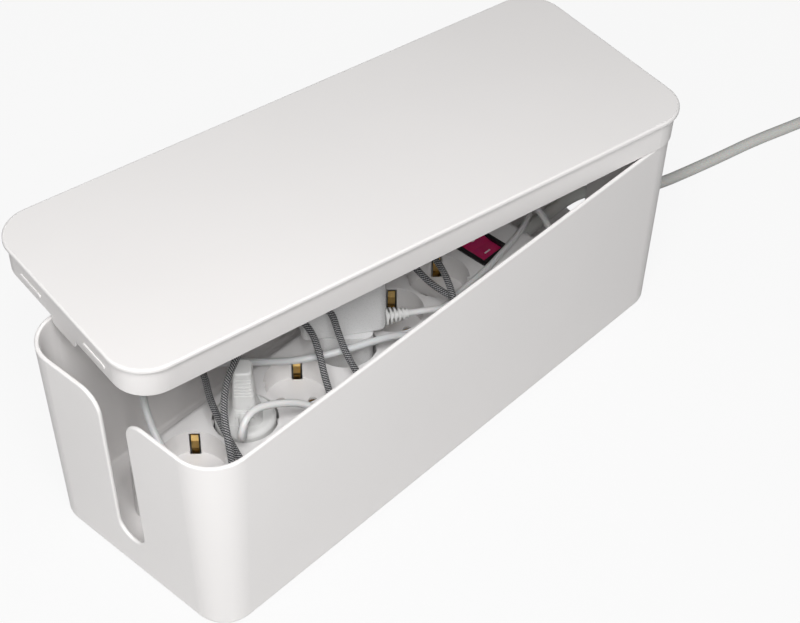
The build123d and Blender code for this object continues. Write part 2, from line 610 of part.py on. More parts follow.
def make_earth_rail():
    """The earth rail, with two sprung clips in each socket."""
    end = SOCKET_CENTRES[-1] + SOCKET_PITCH / 2 + 2
    start = SOCKET_CENTRES[0]
    rail = box_at(end - start, RAIL_WIDTH, RAIL_THICKNESS, (start + end) / 2, 0, EARTH_HEIGHT)
    reach = WELL_RADIUS + 0.5 + CLIP_THICKNESS
    for centre in SOCKET_CENTRES:
        place = Pos(centre, 0, 0) * Rot(0, 0, SOCKET_TURN)
        rail += place * box_at(CLIP_WIDTH, 2 * reach, RAIL_THICKNESS, 0, 0, EARTH_HEIGHT)
        clip = earth_clip()
        rail += place * clip
        rail += place * Rot(0, 0, 180) * clip
    return STRIP_BASE * rail


def make_strip_screws():
    """Four screws that hold the two halves of the strip together."""
    screws = []
    for x in (-SCREW_X, SCREW_X):
        for y in (-SCREW_Y, SCREW_Y):
            screw = rod_at(SCREW_HEAD / 2, SCREW_HEAD_HEIGHT - FIT_GAP, x, y, 0)
            screw -= box_at(SCREW_HEAD * 0.7, 0.8, 0.8, x, y, 0)
            screw += rod_at(SCREW_SHANK / 2, SCREW_LENGTH - 0.5, x, y, 1)
            screws.append(STRIP_BASE * screw)
    return Compound(children=screws)


# ---------------------------------------------------------------- switch
SWITCH_PLACE = STRIP_BASE * Pos(SWITCH_X, 0, 0)


def make_switch_frame():
    """The rocker's frame: a cup through the cover with a flange on top."""
    outer_x = SWITCH_WIDTH - 2 * FIT_GAP
    outer_y = SWITCH_LENGTH - 2 * FIT_GAP
    floor = STRIP_HEIGHT - SWITCH_DEPTH
    frame = box_at(outer_x, outer_y, SWITCH_DEPTH + 0.5, 0, 0, floor)
    flange = box_at(SWITCH_WIDTH + 2 * FLANGE, SWITCH_LENGTH + 2 * FLANGE, FLANGE_THICKNESS,
                    0, 0, STRIP_HEIGHT + 0.02)
    flange = fillet(flange.edges().filter_by(Axis.Z), 1.5)
    flange = fillet(flange.faces().sort_by(Axis.Z)[-1].edges(), 0.6)
    frame += flange
    frame -= box_at(outer_x - 2 * SWITCH_WALL, outer_y - 2 * SWITCH_WALL, SWITCH_DEPTH + 3,
                    0, 0, floor + SWITCH_WALL)
    for side in (-1, 1):
        frame -= (Pos(side * (outer_x / 2 - SWITCH_WALL / 2), 0, PIVOT_HEIGHT) * Rot(0, 90, 0)
                  * Cylinder(ROCKER_PIN / 2 + 0.1, SWITCH_WALL + 1))
    for y in (-8.0, 0.0, 8.0):
        frame -= box_at(5.2, 1.2, SWITCH_WALL + 1, 0, y, floor - 0.5)
    return SWITCH_PLACE * frame


def make_rocker():
    """The rocker button, pressed at its -Y end."""
    width = SWITCH_WIDTH - 2 * FIT_GAP - 2 * SWITCH_WALL - 2 * ROCKER_GAP
    rise = ROCKER_RADIUS * tan(radians(ROCKER_TILT))
    with BuildSketch(Plane.YZ) as section:
        Circle(ROCKER_RADIUS)
        with BuildLine():
            Polyline((-ROCKER_RADIUS - 1, -4.5), (-ROCKER_RADIUS - 1, ROCKER_CROWN + rise),
                     (0, ROCKER_CROWN), (ROCKER_RADIUS + 1, ROCKER_CROWN + rise),
                     (ROCKER_RADIUS + 1, -4.5), close=True)
        make_face(mode=Mode.INTERSECT)
    rocker = extrude(section.sketch, amount=width / 2, both=True)
    rocker -= box_at(width - 3, 15, 6, 0, 0, -5)
    for side in (-1, 1):
        rocker += (Pos(side * (width / 2 + ROCKER_PIN_LENGTH / 2 - 0.25), 0, 0) * Rot(0, 90, 0)
                   * Cylinder(ROCKER_PIN / 2, ROCKER_PIN_LENGTH + 0.5))
    return SWITCH_PLACE * Pos(0, 0, PIVOT_HEIGHT) * Rot(ROCKER_TILT, 0, 0) * rocker


def make_lamp():
    """The glow lamp under the rocker."""
    z = STRIP_HEIGHT - SWITCH_DEPTH + SWITCH_WALL + 2.3
    lamp = Rot(0, 90, 0) * Cylinder(1.9, 10)
    lamp = fillet(lamp.edges(), 1.2)
    return SWITCH_PLACE * Pos(0, 4.0, z) * lamp


def make_terminals():
    """Three blade terminals through the floor of the switch."""
    floor = STRIP_HEIGHT - SWITCH_DEPTH
    blades = []
    for y in (-8.0, 0.0, 8.0):
        blades.append(SWITCH_PLACE * box_at(4.8, 0.8, 10.0, 0, y, floor - 7.5))
    return Compound(children=blades)


# ---------------------------------------------------------------- leads
def corner_radii(points):
    """The largest arc that each corner of a lead's route has room for."""
    vectors = [Vector(*p) for p in points]
    radii = []
    for before, here, after in zip(vectors, vectors[1:], vectors[2:]):
        first = here - before
        second = after - here
        turn = radians(first.get_angle(second))
        radii.append(0.45 * min(first.length, second.length) / tan(turn / 2))
    return radii


def make_tube(name, points, diameter):
    """A lead: straight runs joined by tangent arcs, swept with a round section."""
    radii = corner_radii(points)
    path = FilletPolyline(*[Vector(*p) for p in points], radius=radii)
    start = Plane(origin=path @ 0, z_dir=path % 0)
    tube = sweep(start * Circle(diameter / 2), path=path)
    ideal = pi * diameter ** 2 / 4 * path.length
    print(f"{name}: length {path.length:.0f}, volume ratio {tube.volume / ideal:.4f}, "
          f"radii {[round(r) for r in radii]}")
    return tube


def boot_between(start, direction, length, root, tip):
    """A tapered strain relief from start along direction, root end first."""
    plane = Plane(origin=start, z_dir=direction)
    return Solid.make_cone(root / 2, tip / 2, length, plane)


# ---------------------------------------------------------------- mains lead outside the box
STRIP_END = STRIP_X + STRIP_LENGTH / 2
CORD_EXIT = FLOOR_TOP + CORD_EXIT_HEIGHT

PLUG_PLACE = Pos(PLUG_X, PLUG_Y, PLUG_RADIUS) * Rot(0, 0, PLUG_ANGLE)

MAINS_ROUTE = [
    (STRIP_END + BOOT_LENGTH, STRIP_Y, CORD_EXIT), (178, 6, CORD_EXIT), (191, 5, 33.6),
    (206, 2.4, 34), (222, -1, 30), (240, -4.9, 20), (259, -7.8, 10.5), (280, -12, 5.4),
    (304, -17.2, 4.2), (332, -24, 4.2), (362, -30.6, 4.4), (394, -40.5, 4.6),
    (423, -49, 4.8), (447, -54.5, 5),
]
TAIL_ROUTE = [
    (445, -56.6, 13), (455, -55.6, 13.3), (465.3, -53.2, 15.8), (475.6, -49.9, 18.2),
    (486, -47, 19),
]


def make_cord_boot():
    """The tapered strain relief at the strip's cord exit, with its inner collar."""
    boot = boot_between((STRIP_END + 0.02, STRIP_Y, CORD_EXIT), (1, 0, 0), BOOT_LENGTH - 0.02,
                        BOOT_ROOT, BOOT_TIP)
    neck = Pos(STRIP_END - STRIP_WALL / 2, STRIP_Y, CORD_EXIT) * Rot(0, 90, 0)
    boot += neck * Cylinder(BOOT_ROOT / 2 - 1.2, STRIP_WALL + 1)
    collar = Pos(STRIP_END - STRIP_WALL - 1.6, STRIP_Y, CORD_EXIT) * Rot(0, 90, 0)
    boot += collar * Cylinder(BOOT_ROOT / 2 + 0.6, 2.6)
    return boot


def make_coil():
    """The put-away length of the mains cord: a ring two turns wide and two turns high."""
    ring = rod_at(COIL_MEAN_RADIUS + MAINS_DIAMETER, 2 * MAINS_DIAMETER, COIL_X, COIL_Y, COIL_LIFT)
    ring -= rod_at(COIL_MEAN_RADIUS - MAINS_DIAMETER, 2 * MAINS_DIAMETER, COIL_X, COIL_Y, COIL_LIFT)
    return fillet(ring.edges(), MAINS_DIAMETER * 0.45)


def make_coil_tie():
    """The hook-and-loop strap round the coil."""
    height = 2 * MAINS_DIAMETER + 2 * FIT_GAP
    width = height + TIE_SLACK
    corner = MAINS_DIAMETER * 0.45
    tie = Box(TIE_WIDTH, width + 2 * TIE_THICKNESS, height + 2 * TIE_THICKNESS)
    tie = fillet(tie.edges().filter_by(Axis.X), corner + TIE_THICKNESS)
    hole = Box(TIE_WIDTH + 2, width, height)
    tie -= fillet(hole.edges().filter_by(Axis.X), corner)
    out = COIL_MEAN_RADIUS - TIE_SLACK / 3
    place = Pos(COIL_X, COIL_Y, COIL_LIFT + MAINS_DIAMETER) * Rot(0, 0, TIE_ANGLE)
    return place * Pos(0, -out, 0) * tie


def make_mains_plug():
    """The moulded body of the mains plug: a round face, a domed back and a cord collar."""
    body = Rot(0, 90, 0) * Cylinder(PLUG_RADIUS, PLUG_DEPTH)
    body = fillet(body.faces().sort_by(Axis.X)[0].edges(), 4.0)
    back = Pos(-PLUG_DEPTH / 2 - 4, 0, 0) * Rot(0, 90, 0) * Cylinder(PLUG_RADIUS - 5, 10)
    back = fillet(back.faces().sort_by(Axis.X)[0].edges(), 3.0)
    collar = boot_between((-2, -PLUG_RADIUS + 2, 0), (0, -1, 0), COLLAR_LENGTH, 13.0, 9.6)
    return PLUG_PLACE * (body + back + collar)


def make_mains_pins():
    """The two round pins of the mains plug."""
    pins = []
    for y in (-PIN_SPACING / 2, PIN_SPACING / 2):
        pin = Rot(0, 90, 0) * Cylinder(PIN_DIAMETER / 2, PIN_LENGTH)
        pin = chamfer(pin.faces().sort_by(Axis.X)[-1].edges(), 1.0)
        pins.append(PLUG_PLACE * Pos(PLUG_DEPTH / 2 + PIN_LENGTH / 2, y, 0) * pin)
    return Compound(children=pins)


# ---------------------------------------------------------------- things plugged into the strip

def make_socket_plug():
    """A plug with an upright ribbed grip, seated in the second socket."""
    face = WELL_FLOOR_TOP + PLUG_SEAT
    body = rod_at(SOCKET_PLUG_RADIUS, SOCKET_PLUG_TOP - face, 0, 0, face)
    body = fillet(edges_on_level(body, SOCKET_PLUG_TOP), 3.0)
    neck = loft([Pos(0, 0, SOCKET_PLUG_TOP - 0.5) * RectangleRounded(21, 22, 6),
                 Pos(0, 0, GRIP_FOOT + 0.5) * RectangleRounded(GRIP_WIDTH, GRIP_DEPTH - 2, 3)])
    grip = loft([Pos(0, 0, GRIP_FOOT) * RectangleRounded(GRIP_WIDTH + 2, GRIP_DEPTH, 3),
                 Pos(0, 0, GRIP_TOP) * RectangleRounded(GRIP_WIDTH - 1, GRIP_DEPTH - 3, 3)])
    grip = fillet(edges_on_level(grip, GRIP_TOP), 1.5)
    for i in range(6):
        z = GRIP_FOOT + 8.5 + 2.45 * i
        lean = 1.5 * (z - GRIP_FOOT) / (GRIP_TOP - GRIP_FOOT)
        for side in (-1, 1):
            grip -= box_at(GRIP_WIDTH + 4, 1.6, 1.0, 0, side * (GRIP_DEPTH / 2 - lean), z)
    for i in range(3):
        z = SOCKET_PLUG_TOP + 5.0 + 2.6 * i
        for side in (-1, 1):
            neck -= box_at(GRIP_WIDTH - 1, 1.6, 1.0, 0, side * (9.4 - 0.18 * (z - SOCKET_PLUG_TOP)), z)
    plug = body + neck + grip
    plug += boot_between((0, -7, LEAD_EXIT), (0, -1, 0), LEAD_BOOT, 7.6, 5.6)
    return at_socket(1) * plug


def pins_under(height):
    """Two pins hanging from the given height, on the X axis."""
    pins = []
    for x in (-PIN_SPACING / 2, PIN_SPACING / 2):
        pin = rod_at(PIN_DIAMETER / 2, PIN_LENGTH, x, 0, height - PIN_LENGTH)
        pins.append(chamfer(pin.faces().sort_by(Axis.Z)[0].edges(), 1.0))
    return pins


def make_socket_plug_pins():
    """The pins of the plug in the second socket."""
    pins = pins_under(WELL_FLOOR_TOP + PLUG_SEAT)
    return Compound(children=[at_socket(1) * pin for pin in pins])


def at_charger():
    """The frame of the charger's case, over the fourth socket."""
    return at_socket(3) * Rot(0, 0, CHARGER_SWING) * Pos(CHARGER_SHIFT, 0, 0)


def charger_outline(inset):
    """The charger case's plan, drawn in by inset."""
    middle = CHARGER_DEPTH / 2 - CHARGER_FRONT
    return Pos(0, middle, 0) * RectangleRounded(CHARGER_WIDTH - 2 * inset,
                                                CHARGER_DEPTH - 2 * inset, 5.0 - inset)


def make_charger_case():
    """The charger's case: a hollow block, open where the foot plate closes it."""
    case = Pos(0, 0, CHARGER_UNDER) * extrude(charger_outline(0), amount=CHARGER_HEIGHT)
    case = fillet(edges_on_level(case, CHARGER_UNDER + CHARGER_HEIGHT), 3.0)
    case = fillet(edges_on_level(case, CHARGER_UNDER), 2.0)
    case -= Pos(0, 0, CHARGER_UNDER - 1) * extrude(charger_outline(CHARGER_SHELL + 1.4),
                                                   amount=CHARGER_HEIGHT - CHARGER_SHELL + 1)
    return at_charger() * case


def make_charger_foot():
    """The plate that closes the charger, with the flat two-pin foot that enters the socket."""
    inset = CHARGER_SHELL + 1.4 + FIT_GAP
    plate = Pos(0, 0, CHARGER_UNDER) * extrude(charger_outline(inset), amount=CHARGER_PLATE)
    foot = extrude(RectangleRounded(FOOT_LONG, FOOT_WIDE, 6.0),
                   amount=CHARGER_UNDER - WELL_FLOOR_TOP - PLUG_SEAT)
    foot = Pos(0, 0, WELL_FLOOR_TOP + PLUG_SEAT) * foot
    outline = charger_outline(inset)
    inside = Pos(0, 0, WELL_FLOOR_TOP) * extrude(outline, amount=100)
    neck = box_at(FOOT_LONG - 4, FOOT_WIDE, 2, 0, 0, CHARGER_UNDER)
    return at_charger() * plate + at_socket(3) * foot + (at_socket(3) * neck & at_charger() * inside)


def make_charger_pins():
    """The pins of the charger."""
    pins = pins_under(WELL_FLOOR_TOP + PLUG_SEAT)
    return Compound(children=[at_socket(3) * pin for pin in pins])


def make_charger_boot():
    """The ribbed strain relief on the side of the charger."""
    y, z = CHARGER_BOOT_BACK - CHARGER_FRONT, CHARGER_UNDER + CHARGER_BOOT_HEIGHT
    start = CHARGER_WIDTH / 2 + 0.02
    ribs = boot_between((start, y, z), (1, 0, 0), CHARGER_BOOT, 11.4, 6.4)
    for i in range(5):
        cut = Pos(start + 1.9 + 2.6 * i, y, z) * Rot(0, 90, 0)
        ribs -= cut * (Cylinder(8, 1.3) - Cylinder(2.5, 1.3))
    return at_charger() * ribs


# ---------------------------------------------------------------- leads inside the box
BRAID_ROUTE = [
    (-100, -60, 7.1), (-116, -60, 7.1), (-132, -57, 13), (-143, -50, 25), (-148, -43.5, 39.5),
    (-147, -37.5, 52), (-142.5, -30, 63.5), (-135, -18.5, 75), (-127, -6.5, 84.5),
    (-115.5, 2.3, 94.5), (-101.7, 7, 101), (-86.5, 14.5, 102), (-71.5, 25, 97.5),
    (-60.5, 36.5, 89), (-55.5, 47.5, 78.5), (-58, 58, 69.5), (-66.5, 65.5, 62.5),
    (-77.5, 66.5, 58.5), (-89, 59.5, 59), (-98.5, 46.5, 65.5), (-106, 32, 69.5),
    (-115.8, 17.8, 68.5), (-123, 0.5, 65), (-128, -15, 60), (-129.5, -28, 50.5),
    (-124, -38, 38), (-112, -45, 23), (-98, -49, 12.5), (-84, -49.5, 10), (-72.5, -47.5, 15),
    (-65.5, -43, 26), (-61.5, -36.5, 39.5), (-59.5, -27.5, 53), (-55.2, -16, 64),
    (-48, -4.5, 73.5), (-42.5, 8, 80), (-43.5, 21, 84),
    (-44, 34, 82), (-39, 47, 74), (-26, 56, 66), (-8, 58, 64), (12, 54, 68), (30, 42, 75),
    (44, 27, 79), (53, 12, 80), (55, -1, 79), (52, -12, 76.5), (47.5, -22, 72.5),
    (42.5, -31, 65.5), (37, -39, 54.5), (27, -47, 41), (12, -52, 28), (-5, -51, 21),
    (-19, -45.5, 26), (-28.5, -36.5, 38.5), (-33.5, -26, 52), (-34, -13.5, 65.5),
    (-31.8, -4, 78), (-30.5, 2.5, 90.5), (-40, 10.5, 99), (-49, 24, 99.5), (-50, 39, 93.5),
    (-42, 52, 85),
    (-26, 60, 78), (-8, 63, 75), (11, 59, 78), (27, 47, 85), (36, 32, 90), (39, 16, 89),
    (38, 3, 84), (39.5, -7, 76), (44, -16.5, 68), (49.5, -26.5, 62.5), (54.5, -36.5, 52.5),
    (61.5, -44.5, 39.5), (71.5, -48.5, 26), (82, -48.5, 14.5), (94, -47, 7.4), (106, -46.5, 7.4),
]
FLEX_ROUTE = [
    (-115.4, -9.7, 58), (-120.4, -13.6, 61.5), (-121.5, -14.6, 69), (-116, -13, 74.8),
    (-107.5, -12, 75.5), (-98.5, -13.4, 73), (-89.5, -16, 69.5), (-80.5, -19.5, 65.5),
    (-73, -25.5, 60), (-69, -34.5, 51), (-65.5, -45, 39), (-59, -54, 26), (-48.5, -60, 14.5),
    (-34.5, -61.8, 8), (-18, -61.8, 6.6), (0, -62, 6.3), (24, -62.8, 6.4), (48, -61.8, 6.3), (72, -60.9, 6.4),
    (98, -61, 6.6), (120, -57, 10.5), (136, -47, 22), (144, -34, 38), (148, -19, 53),
    (150.5, -3, 62), (150.5, 13, 63), (147.5, 28, 58), (139, 43, 46), (123, 53, 29.5),
    (103, 58.5, 15), (82, 60, 8.7), (63, 60, 8.7),
]
CHARGER_ROUTE = [
    (26.4, -21.3, 66.2), (36.5, -25, 63), (48.5, -21.5, 57.5), (61, -17, 54), (76, -15.6, 53),
    (92, -14.4, 53), (107, -12.2, 53.4), (123, -9.4, 53.4), (140, -5, 53), (157, 5.5, 49.5),
    (170, 20, 42), (175, 35, 31), (169, 49, 18), (155, 57, 7.6), (140, 58.5, 7.6),
]
PATCH_ROUTE = [
    (66, -34, 8.2), (54, -34.2, 8.2), (42, -34.5, 16.5), (31, -34, 30), (22.5, -32, 43.5),
    (14, -28, 55.5), (3, -21.5, 62.5), (-12, -16.5, 65), (-36, -4.5, 63), (-55, 11, 59.5),
    (-67, 28, 56), (-77, 44, 52.5), (-92, 55, 50), (-110, 59, 53), (-126, 56, 62),
    (-136.5, 50.5, 71.5), (-145, 42, 76.5), (-151, 32.5, 74.5), (-153, 25, 64),
    (-155.5, 12, 55.5), (-161.5, -6, 54.8), (-165, -19.5, 55.5), (-166, -30.5, 48.5),
    (-160, -38, 34), (-149, -40, 19), (-136, -37.5, 8.2), (-122, -35, 8.2),
]


def end_plane(points, outward=True):
    """A plane at a lead's last point (or first), its Z along the lead's end, its X level."""
    tip, before = (points[-1], points[-2]) if outward else (points[0], points[1])
    direction = (Vector(*tip) - Vector(*before)).normalized()
    level = Vector(0, 0, 1).cross(direction).normalized()
    return Plane(origin=tip, x_dir=level, z_dir=direction)


def placed(plane, shape):
    """A shape made along +Z, moved to a lead's end."""
    return Location(plane) * shape


def make_usb_plug(points, outward, tip_diameter):
    """The moulded grip of a USB plug at a lead's end."""
    neck = Solid.make_cone(tip_diameter / 2, 3.0, 7.0)
    body = Pos(0, 0, 7) * extrude(RectangleRounded(11.4, 6.2, 2.2), amount=17)
    body = fillet(edges_on_level(body, 24), 0.8)
    return placed(end_plane(points, outward), neck + body)


def make_usb_shell(points, outward):
    """The metal shell of a USB plug."""
    shell = Pos(0, 0, 24.02) * extrude(RectangleRounded(8.4, 2.8, 1.2), amount=6.6)
    shell -= Pos(0, 0, 27) * extrude(RectangleRounded(7.4, 1.8, 0.8), amount=5)
    return placed(end_plane(points, outward), shell)


def make_patch_plug(points, outward):
    """The clear body of a network plug with its latch."""
    body = extrude(Rectangle(11.7, 7.4), amount=21)
    body = Pos(0, 0, 4) * fillet(body.edges().filter_by(Axis.Z), 0.6)
    for i in range(8):
        body -= box_at(0.7, 1.6, 6, -4.4 + 1.26 * i, -3.7, 20)
    latch = Pos(0, 4.6, 15) * Rot(-9, 0, 0) * Box(6.0, 0.9, 14)
    return placed(end_plane(points, outward), body + latch)


def make_patch_boot(points, outward):
    """The soft boot behind a network plug."""
    boot = Solid.make_cone(3.0, 3.6, 3.98)
    return placed(end_plane(points, outward), boot)


def make_flex_connector():
    """The two-hole appliance connector at the end of the plug's flex."""
    neck = Solid.make_cone(2.9, 3.6, 9.0)
    body = Pos(0, 0, 9) * extrude(RectangleRounded(15.6, 9.2, 4.3), amount=21)
    for x in (-4.3, 4.3):
        body -= rod_at(1.4, 16, x, 0, 15)
    return placed(end_plane(FLEX_ROUTE), neck + body)


def socket_point(index, x, y, z):
    """A point given in a socket's own frame, as a plain tuple."""
    spot = (at_socket(index) * Location((x, y, z))).position
    return (spot.X, spot.Y, spot.Z)


def build_all():
    """Build every node."""
    keep("tub_shell", make_tub())
    keep("rubber_feet", make_feet())
    keep("lid_cover", make_lid())
    keep("strip_base", make_strip_base())
    keep("strip_cover", make_strip_cover())
    keep("live_rail", make_rail(-1))
    keep("neutral_rail", make_rail(1))
    keep("earth_rail", make_earth_rail())
    keep("strip_screws", make_strip_screws())
    keep("switch_frame", make_switch_frame())
    keep("switch_rocker", make_rocker())
    keep("switch_lamp", make_lamp())
    keep("switch_terminals", make_terminals())
    keep("cord_boot", make_cord_boot())
    keep("mains_cord", make_tube("mains_cord", MAINS_ROUTE, MAINS_DIAMETER))
    keep("mains_cord_coil", make_coil())
    keep("coil_tie", make_coil_tie())
    keep("mains_cord_tail", make_tube("mains_cord_tail", TAIL_ROUTE, MAINS_DIAMETER))
    keep("mains_plug", make_mains_plug())
    keep("mains_plug_pins", make_mains_pins())
    keep("socket_plug", make_socket_plug())
    keep("socket_plug_pins", make_socket_plug_pins())
    flex_tip = socket_point(1, 0, -7 - LEAD_BOOT, LEAD_EXIT)
    keep("plug_flex", make_tube("plug_flex", [flex_tip] + FLEX_ROUTE, LEAD_DIAMETER))
    keep("flex_connector", make_flex_connector())
    keep("charger_case", make_charger_case())
    keep("charger_foot", make_charger_foot())
    keep("charger_pins", make_charger_pins())
    keep("charger_boot", make_charger_boot())
    tip = at_charger() * Location((CHARGER_WIDTH / 2 + CHARGER_BOOT + 0.02,
                                   CHARGER_BOOT_BACK - CHARGER_FRONT,
                                   CHARGER_UNDER + CHARGER_BOOT_HEIGHT))
    lead_tip = (tip.position.X, tip.position.Y, tip.position.Z)
    keep("charger_lead", make_tube("charger_lead", [lead_tip] + CHARGER_ROUTE,
                                   CHARGER_LEAD_DIAMETER))
    keep("charger_lead_plug", make_usb_plug(CHARGER_ROUTE, True, 2.4))
    keep("charger_lead_shell", make_usb_shell(CHARGER_ROUTE, True))
    keep("patch_lead", make_tube("patch_lead", PATCH_ROUTE, LEAD_DIAMETER))
    for letter, outward in (("a", False), ("b", True)):
        keep("patch_boot_" + letter, make_patch_boot(PATCH_ROUTE, outward))
        keep("patch_plug_" + letter, make_patch_plug(PATCH_ROUTE, outward))
    keep("braided_lead", make_tube("braided_lead", BRAID_ROUTE, BRAID_DIAMETER))
    for letter, outward in (("a", False), ("b", True)):
        keep("braid_plug_" + letter, make_usb_plug(BRAID_ROUTE, outward, 2.4))
        keep("braid_shell_" + letter, make_usb_shell(BRAID_ROUTE, outward))
    print("plug flex starts at", [round(v, 1) for v in flex_tip],
          "charger lead at", [round(v, 1) for v in lead_tip])


def write_all():
    """Write one STEP file for each node."""
    os.makedirs("parts", exist_ok=True)
    for name, shape in parts.items():
        shape.label = name
        export_step(shape, f"parts/{name}.step")


build_all()
write_all()
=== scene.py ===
import logging
import math
from dataclasses import dataclass
from enum import Enum

import bmesh
import bpy
from mathutils import Matrix, Vector
from mathutils.bvhtree import BVHTree


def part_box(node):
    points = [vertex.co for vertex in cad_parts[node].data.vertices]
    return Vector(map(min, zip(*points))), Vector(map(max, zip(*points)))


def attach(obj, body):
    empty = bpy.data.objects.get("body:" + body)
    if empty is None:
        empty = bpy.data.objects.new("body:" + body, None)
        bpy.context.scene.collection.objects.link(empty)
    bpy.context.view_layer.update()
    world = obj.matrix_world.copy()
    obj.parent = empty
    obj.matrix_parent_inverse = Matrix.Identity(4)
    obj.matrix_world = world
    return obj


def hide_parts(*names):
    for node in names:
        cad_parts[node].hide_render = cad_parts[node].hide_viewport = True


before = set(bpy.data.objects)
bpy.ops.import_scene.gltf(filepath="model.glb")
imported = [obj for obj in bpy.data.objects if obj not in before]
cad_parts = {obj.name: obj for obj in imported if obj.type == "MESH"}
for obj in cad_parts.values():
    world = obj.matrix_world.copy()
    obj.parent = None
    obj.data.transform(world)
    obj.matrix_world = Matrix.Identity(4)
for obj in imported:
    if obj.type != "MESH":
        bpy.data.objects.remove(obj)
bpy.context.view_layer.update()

MM = 0.001
WHITE = (1.0, 1.0, 1.0, 1.0)
SENSOR_WIDTH = 36.0          # millimetres
SATIN_GRAIN = 1500.0         # features per metre on polished moulds
SATIN_DEPTH = 0.00001        # metres
GLOSS_DEPTH = 0.000004
log = logging.getLogger("cable_box")

Point = tuple[float, float, float]
Color = tuple[float, float, float]


class FarEnd(Enum):
    """What a lead ends in."""

    PLUG = "plug"
    CONNECTOR = "connector"


class Stiffness(Enum):
    """How easily a lead bends."""

    LIMP = "limp"
    MEDIUM = "medium"


class Lay(Enum):
    """How a lead lies."""

    LOOSE = "loose"
    COILED = "coiled"


# ------------------------------------------------------------------ finishes
class NodeSheet:
    """A material's nodes, added and joined by short calls."""

    def __init__(self, name: str) -> None:
        """Starts an empty material.

        Args:
            name: The material's name.
        """
        self.material = bpy.data.materials.new(name)
        self.material.use_nodes = True
        self.tree = self.material.node_tree
        self.shader = self.tree.nodes["Principled BSDF"]

    def add(self, kind: str, inputs: dict[str, object] | None = None,
            **settings: object) -> bpy.types.Node:
        """Adds a node.

        Args:
            kind: The node's type name, without its ShaderNode prefix.
            inputs: Values for its sockets, or output sockets to link to them.
            settings: Properties of the node.

        Returns:
            The new node.
        """
        node = self.tree.nodes.new("ShaderNode" + kind)
        for key, value in settings.items():
            setattr(node, key, value)
        for key, value in (inputs or {}).items():
            socket = node.inputs[int(key) if key.isdigit() else key]
            if isinstance(value, bpy.types.NodeSocket):
                self.tree.links.new(value, socket)
            else:
                socket.default_value = value
        return node

    def math(self, operation: str, *values: object) -> bpy.types.NodeSocket:
        """Adds a Math node.

        Args:
            operation: The Math node's operation.
            values: Its inputs, numbers or sockets.

        Returns:
            Its output socket.
        """
        inputs = {str(i): value for i, value in enumerate(values)}
        return self.add("Math", inputs, operation=operation).outputs[0]

    def noise(self, vector: bpy.types.NodeSocket, scale: float,
              detail: float) -> bpy.types.NodeSocket:
        """Adds a noise texture.

        Args:
            vector: Where it is read.
            scale: Its scale, in features per metre.
            detail: Its octaves.

        Returns:
            Its factor socket.
        """
        node = self.add("TexNoise", {"Vector": vector, "Scale": scale, "Detail": detail})
        return node.outputs["Factor"] if "Factor" in node.outputs else node.outputs[0]

    def ramp(self, factor: bpy.types.NodeSocket,
             stops: list[tuple[float, Color]]) -> bpy.types.NodeSocket:
        """Adds a colour ramp.

        Args:
            factor: What drives it.
            stops: Its positions and colours.

        Returns:
            Its colour socket.
        """
        node = self.add("ValToRGB", {"Fac": factor})
        elements = node.color_ramp.elements
        while len(elements) < len(stops):
            elements.new(0.5)
        for element, (position, color) in zip(elements, stops):
            element.position = position
            element.color = (*color, 1.0)
        return node.outputs["Color"]

    def object_coords(self) -> bpy.types.NodeSocket:
        """Returns the piece's own coordinates."""
        return self.add("TexCoord").outputs["Object"]

    def set(self, **values: object) -> None:
        """Sets or links the shader's sockets, named with underscores for spaces.

        Args:
            values: A value or an output socket for each socket.
        """
        for key, value in values.items():
            socket = self.shader.inputs[key.replace("_", " ")]
            if isinstance(value, bpy.types.NodeSocket):
                self.tree.links.new(value, socket)
            else:
                socket.default_value = value

    def bump(self, height: bpy.types.NodeSocket, strength: float, distance: float) -> None:
        """Gives the shader a bump.

        Args:
            height: The height's socket.
            strength: The bump's strength.
            distance: How high a height of 1 is, in metres.
        """
        node = self.add("Bump", {"Height": height, "Strength": strength, "Distance": distance})
        self.set(Normal=node.outputs["Normal"])


def shade(color: Color, factor: float) -> Color:
    """Returns a colour made darker or lighter by a factor."""
    return tuple(min(1.0, part * factor) for part in color)


@dataclass(frozen=True)
class MouldedPlastic:
    """Plain moulded plastic with a fine spark-eroded grain and slight unevenness."""

    name: str
    color: Color
    roughness: float
    grain: float = 2200.0
    grain_depth: float = 0.00003
    coat: float = 0.0
    glow: float = 0.0

    def make(self) -> bpy.types.Material:
        """Builds the material.

        Returns:
            The material.
        """
        sheet = NodeSheet(self.name)
        where = sheet.object_coords()
        broad = sheet.noise(where, 9.0, 3.0)
        color = sheet.ramp(broad, [(0.35, shade(self.color, 0.985)), (0.65, self.color)])
        fine = sheet.noise(where, self.grain, 2.0)
        rough = sheet.add("MapRange", {"Value": fine, "To Min": self.roughness - 0.04,
                                       "To Max": self.roughness + 0.04}).outputs["Result"]
        sheet.set(Base_Color=color, Roughness=rough, Coat_Weight=self.coat, Coat_Roughness=0.12)
        if self.glow:
            sheet.set(Subsurface_Weight=self.glow, Subsurface_Scale=0.0015)
        sheet.bump(fine, 0.35, self.grain_depth)
        return sheet.material


